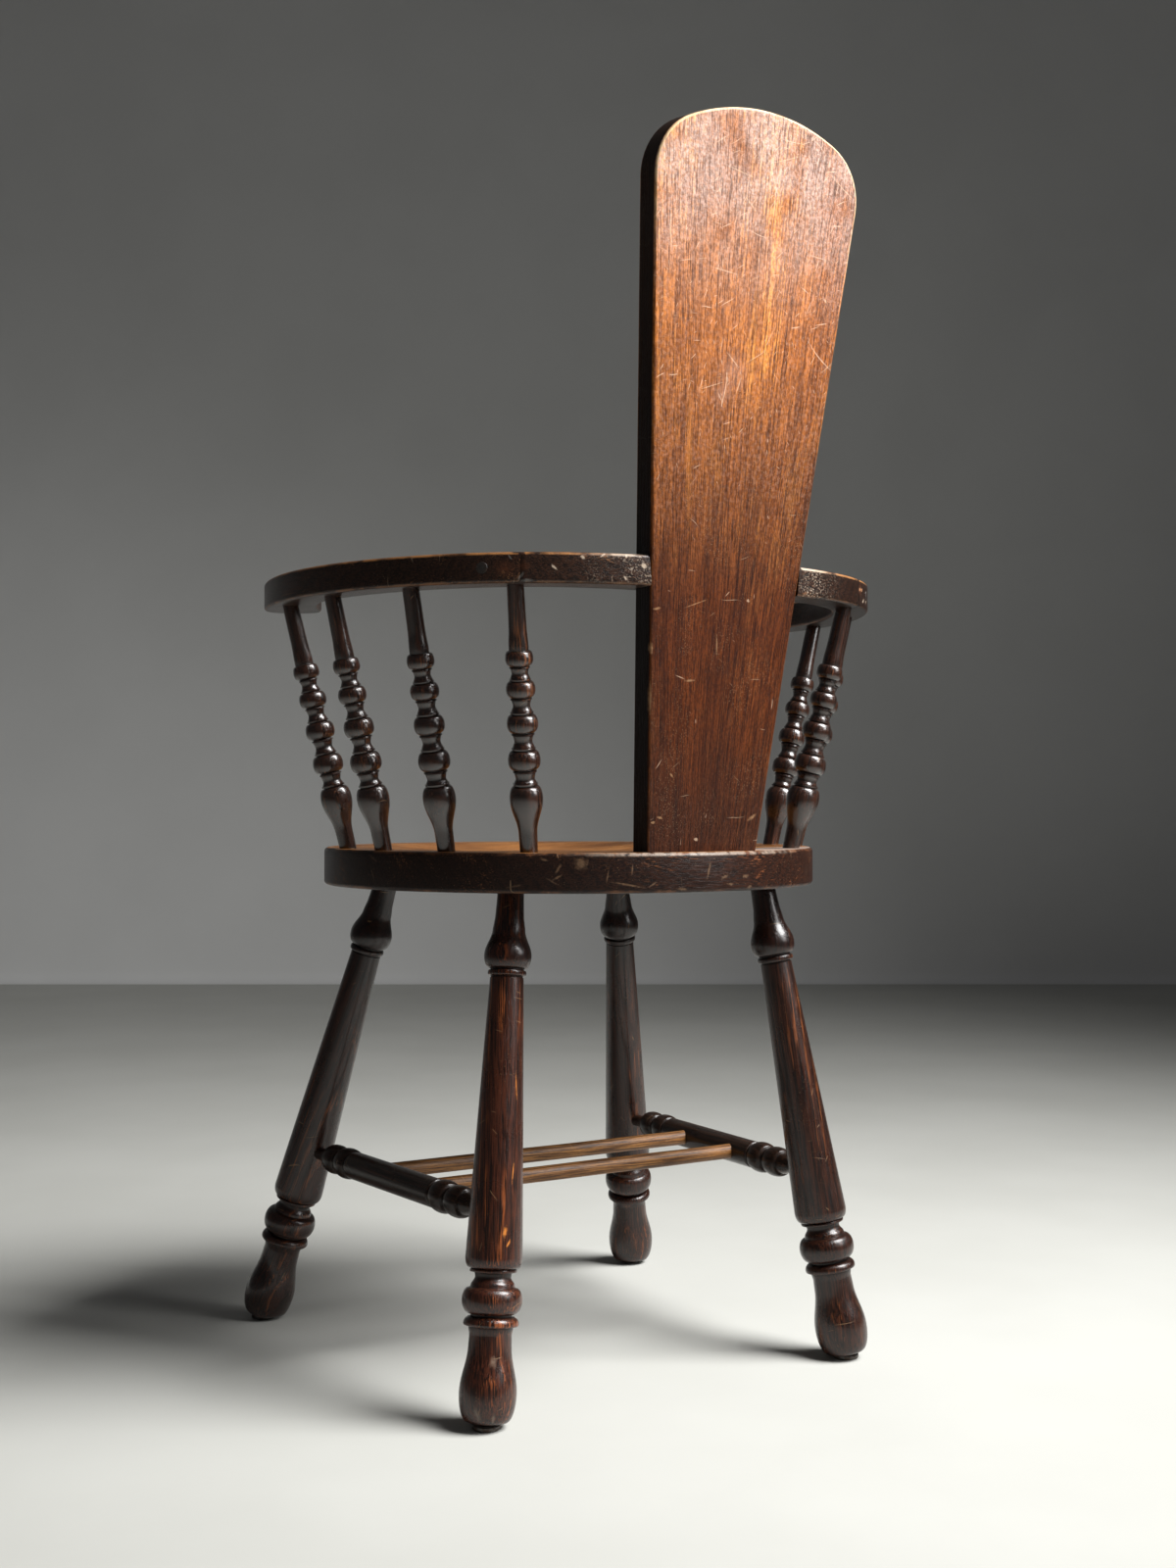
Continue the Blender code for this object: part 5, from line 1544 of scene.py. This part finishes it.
def cut(piece, tool_mesh, tool_place):
    """Takes a tool's shape out of a piece for good."""
    tool = bpy.data.objects.new("cutter", tool_mesh)
    scene.collection.objects.link(tool)
    tool.matrix_world = tool_place
    step = piece.modifiers.new("cut", "BOOLEAN")
    step.operation, step.solver, step.object = "DIFFERENCE", "EXACT", tool
    bpy.context.view_layer.update()
    result = bpy.data.meshes.new_from_object(piece.evaluated_get(bpy.context.evaluated_depsgraph_get()))
    piece.modifiers.clear()
    piece.data = result
    result.set_sharp_from_angle(angle=SHARP_ANGLE)
    bpy.data.objects.remove(tool)


print(f"scarfs {1000 * SCARF_GAP:.1f} mm open")

# %% [markdown]
# ## Finish of the bow
#
# The bow is dark, with russet patches at the joint, cream nicks along the rail and a worn arris that is
# gold on the arms and pale near the plank. All of it lies on the outer face, which distance from the
# bow's middle finds. The grain runs along the chair's X in the rail and along its Y in the arms, so the
# two have their own materials, made by one function that is told which local axis lies sideways.

# %% Bow finish
CREAM = (rgb(0.56, 0.44, 0.33), 0.75, 0.6)
RUSSET = (rgb(0.085, 0.028, 0.012), 0.7, 1.3)
SMEAR = (rgb(0.20, 0.19, 0.175), 0.6, 1.0)
SPOT = (rgb(0.62, 0.30, 0.15), 0.85, 0.6)
# Each mark: its place along the chair's X and up the edge, half its width and height in mm, lean and kind
BOW_MARKS = (
    (177, 11, 8, 9, 15, RUSSET), (165, 13, 6, 6, 0, RUSSET), (145, 12, 1.1, 3.5, 40, CREAM),
    (167, 5, 1.4, 5, -30, SMEAR), (163, 2, 6, 1.6, 0, SMEAR), (174, 20, 0.8, 3.5, 30, SMEAR),
    (92, 22, 1.4, 2, -10, CREAM), (125, 20, 1.4, 2.5, 70, CREAM), (110, 22, 0.8, 3, -55, CREAM),
    (78, 15, 2.4, 3, 50, CREAM), (93, 5, 0.9, 2, 25, CREAM), (-170, 15, 6, 8, 0, RUSSET),
    (-169, 15, 1.6, 1.8, 0, SPOT), (-174, 15, 1.3, 2, 0, SPOT), (-179, 6, 1, 4, -45, CREAM),
    (-190, 8, 1, 5, -30, CREAM))


def bow_finish(name, sideways):
    """The bow's finish for a piece. sideways names the piece's own axis that lies along the chair's X."""

    def marks(here, proud, colour):
        """Single nicks on the outer face, and pale specks that thicken towards the plank."""
        place = dict(zip("XYZ", split(here)))
        along, up = place[sideways], place["Y"]
        marked = tint(fade(along, -0.09, -0.05), colour, rgb(0.66, 0.60, 0.56), way="MULTIPLY")
        marked = lay_marks(combine(along, 0.0, up), marked, BOW_MARKS)
        near = fade(calc("ABSOLUTE", along), 0.085, 0.135)
        grainy = ease(cloud(here, 620, 2), 0.54, 0.62) * ease(cloud(here, 50, 3), 0.36, 0.6)
        marked = tint(grainy * near, marked, CREAM[0], 0.45)
        arris = ease(proud, 0.55, 0.9) * ease(up, 0.019, 0.022) * ease(cloud(here, 55, 4), 0.36, 0.58)
        marked = tint(arris, marked, tint(near, rgb(0.34, 0.15, 0.05), CREAM[0]), 0.8)
        outer = ease(span(vector("MULTIPLY", here, (1, 0, 1))), 0.238, 0.242)
        return tint(outer, colour, marked)

    return varnished_wood(
        name, stain=rgb(0.012, 0.0064, 0.0046), wood=rgb(0.038, 0.0165, 0.0095),
        worn=rgb(0.20, 0.09, 0.038), bare=rgb(0.50, 0.36, 0.24), heart=(0.04, 0.10), spin=0.0, wander=0.012,
        wear=0.1, rub=0.32, chips=0.16, scratch=0.2, gloss=0.34, shine=0.3, coat=0.1, marks=marks)


print("bow finish with", len(BOW_MARKS), "single marks")

# %% [markdown]
# ## Rail and arms
#
# The rail comes first and loses a notch in the plank's own shape, a little larger, so that the plank
# passes through with a thin gap. Each arm is then cut at its scarf, and so is the rail on that side.

# %% Bow pieces
BOW_EDGE = 0.003
BOW_DEEP = 0.010
BOW_PLACE = Matrix.Translation((0, BOW_Y, BOW_UNDERSIDE))
NOTCH_GAP = 0.0003
NOTCH_EDGE = 0.0001
NOTCH_STEP = 0.02


def bow_piece(name, outline, grain, finish, node):
    """One board of the bow, with its object's Z along the grain."""
    mesh = board(name, outline, BOW_THICKNESS, BOW_EDGE, BOW_DEEP)
    mesh.transform(grain.inverted())
    return add_piece(name, mesh, finish, node, BOW_PLACE @ grain)


arm_wood = bow_finish("arm_varnish", "X")
rail = bow_piece("bent_rail", rail_outline(), GRAIN_SIDEWAYS, bow_finish("rail_varnish", "Z"), "back_rail")
notch = board("notch", plank_outline(NOTCH_GAP, NOTCH_STEP), PLANK_THICKNESS + NOTCH_GAP + BOW_WIDTH,
              NOTCH_EDGE, PLANK_DEEP)
notch.transform(UPRIGHT @ Matrix.Translation((0, 0, -BOW_WIDTH)))
cut(rail, notch, PLANK_PLACE)
for side, name in ((1, "left"), (-1, "right")):
    arm = bow_piece(f"bent_arm_{name}", arm_outline(side), UPRIGHT, arm_wood, f"arm_{name}")
    cut(arm, scarf_block(side, -1), BOW_PLACE)
    cut(rail, scarf_block(side, 1), BOW_PLACE)
print("rail and arms:", [len(piece.data.vertices) for piece in pieces_made[-3:]], "vertices")

# %% [markdown]
# ## Plugs
#
# A round plug of end grain covers the screw in each scarf. Its rings lie across it, because the plug's
# axis is also the grain's. It stands a hair proud with a rounded border, as a plug does that was pared
# off.

# %% Plug finish and pieces
plug_wood = varnished_wood(
    "plug_end_grain", stain=rgb(0.010, 0.007, 0.006), wood=rgb(0.03, 0.018, 0.012),
    worn=rgb(0.09, 0.05, 0.03), bare=rgb(0.3, 0.2, 0.12), heart=(0.003, 0.002), ring_width=0.0012,
    wander=0.002, wear=0.1, gloss=0.45, coat=0.1)
PLUG_SIDES = 36
PLUG_SUNK = 0.0002
PLUG_PROFILE = ((-2.0, 4.55, STRAIGHT), (-0.1, 4.55, STRAIGHT), (0.15, 4.2, FROM_CREST),
                (0.3, 1.0, STRAIGHT))
for name, sign in (("left", 1), ("right", -1)):
    inner_face, outer_face = turned_ends(f"scarf_plug_{name}", (sign * 0.7, 0.7, 0))
    shape = lathe(f"end_grain_plug_{name}", turning(PLUG_PROFILE), PLUG_SIDES)
    axis = (outer_face - inner_face).normalized()
    add_piece(f"end_grain_plug_{name}", shape, plug_wood, f"scarf_plug_{name}",
              aimed(outer_face - axis * PLUG_SUNK, outer_face + axis))
print("two plugs")

# %% [markdown]
# ## Screws
#
# Two screws with slotted heads hold the rail to the plank from inside, and two more come up through the
# seat into the plank's foot. Their heads sit in round holes, which a cylinder cuts from the rail and
# the seat. The slot is cut too, at a different turn on each side, because no one lines up hidden
# screws. The two screws in the scarfs can't be seen, so they stay as the CAD model has them and only
# get the steel.

# %% Screw finish and pieces
screw_steel = old_steel("screw_steel", rgb(0.42, 0.40, 0.37), rgb(0.12, 0.07, 0.045), 0.35)
SCREW_SIDES = 40
SCREW_HEAD = ((0.0, 3.3, STRAIGHT), (0.7, 4.2, TO_CREST), (2.0, 4.2, STRAIGHT), (2.2, 2.2, STRAIGHT))
SHANK_RADIUS, SCREW_POINT, POINT_RADIUS = 2.2, 4, 0.6
HOLE_RADIUS, HOLE_START, HOLE_DEPTH = 0.0046, -0.03, 0.0023
SLOT_HALF_WIDTH, SLOT_HALF_LENGTH = 0.00055, 0.01
SLOT_START, SLOT_DEPTH = -0.001, 0.0009
hole_ends = [(HOLE_RADIUS, HOLE_START), (HOLE_RADIUS, HOLE_DEPTH)]
hole_mesh = lathe("screw_hole", np.array(hole_ends), SCREW_SIDES)
slot_plan = [(x * SLOT_HALF_LENGTH, y * SLOT_HALF_WIDTH) for x, y in ((-1, -1), (1, -1), (1, 1), (-1, 1))]
slot_mesh = prism("screw_slot", slot_plan, SLOT_START, SLOT_DEPTH)
for kind, rough_axis, holder in (("rail", (0, 1, 0), rail), ("seat", (0, 0, 1), seat)):
    for turn, name in ((0.4, f"{kind}_screw_left"), (2.1, f"{kind}_screw_right")):
        head, tip = turned_ends(name, rough_axis)
        set_in = aimed(head, tip)
        cut(holder, hole_mesh, set_in)
        length = 1000 * (tip - head).length
        shank = ((length - SCREW_POINT, SHANK_RADIUS, STRAIGHT), (length, POINT_RADIUS, STRAIGHT))
        shape = lathe(f"slotted_{name}", turning([*SCREW_HEAD, *shank]), SCREW_SIDES)
        slotted = add_piece(f"slotted_{name}", shape, screw_steel, name, set_in)
        cut(slotted, slot_mesh, set_in @ Matrix.Rotation(turn, 4, "Z"))
for name in ("scarf_screw_left", "scarf_screw_right"):
    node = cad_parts[name]
    node.data.materials.clear()
    node.data.materials.append(screw_steel)
print("four slotted screws, and two hidden ones left as they are")

# %% [markdown]
# ## Finish
#
# The size of the dressed chair is printed, with the number of pieces and their faces.

# %% Sizes and end
low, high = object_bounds()
print("visual box, m:", [round(value, 4) for value in (*low, *high)])
print(len(pieces_made), "pieces made,", sum(len(piece.data.polygons) for piece in pieces_made), "faces")
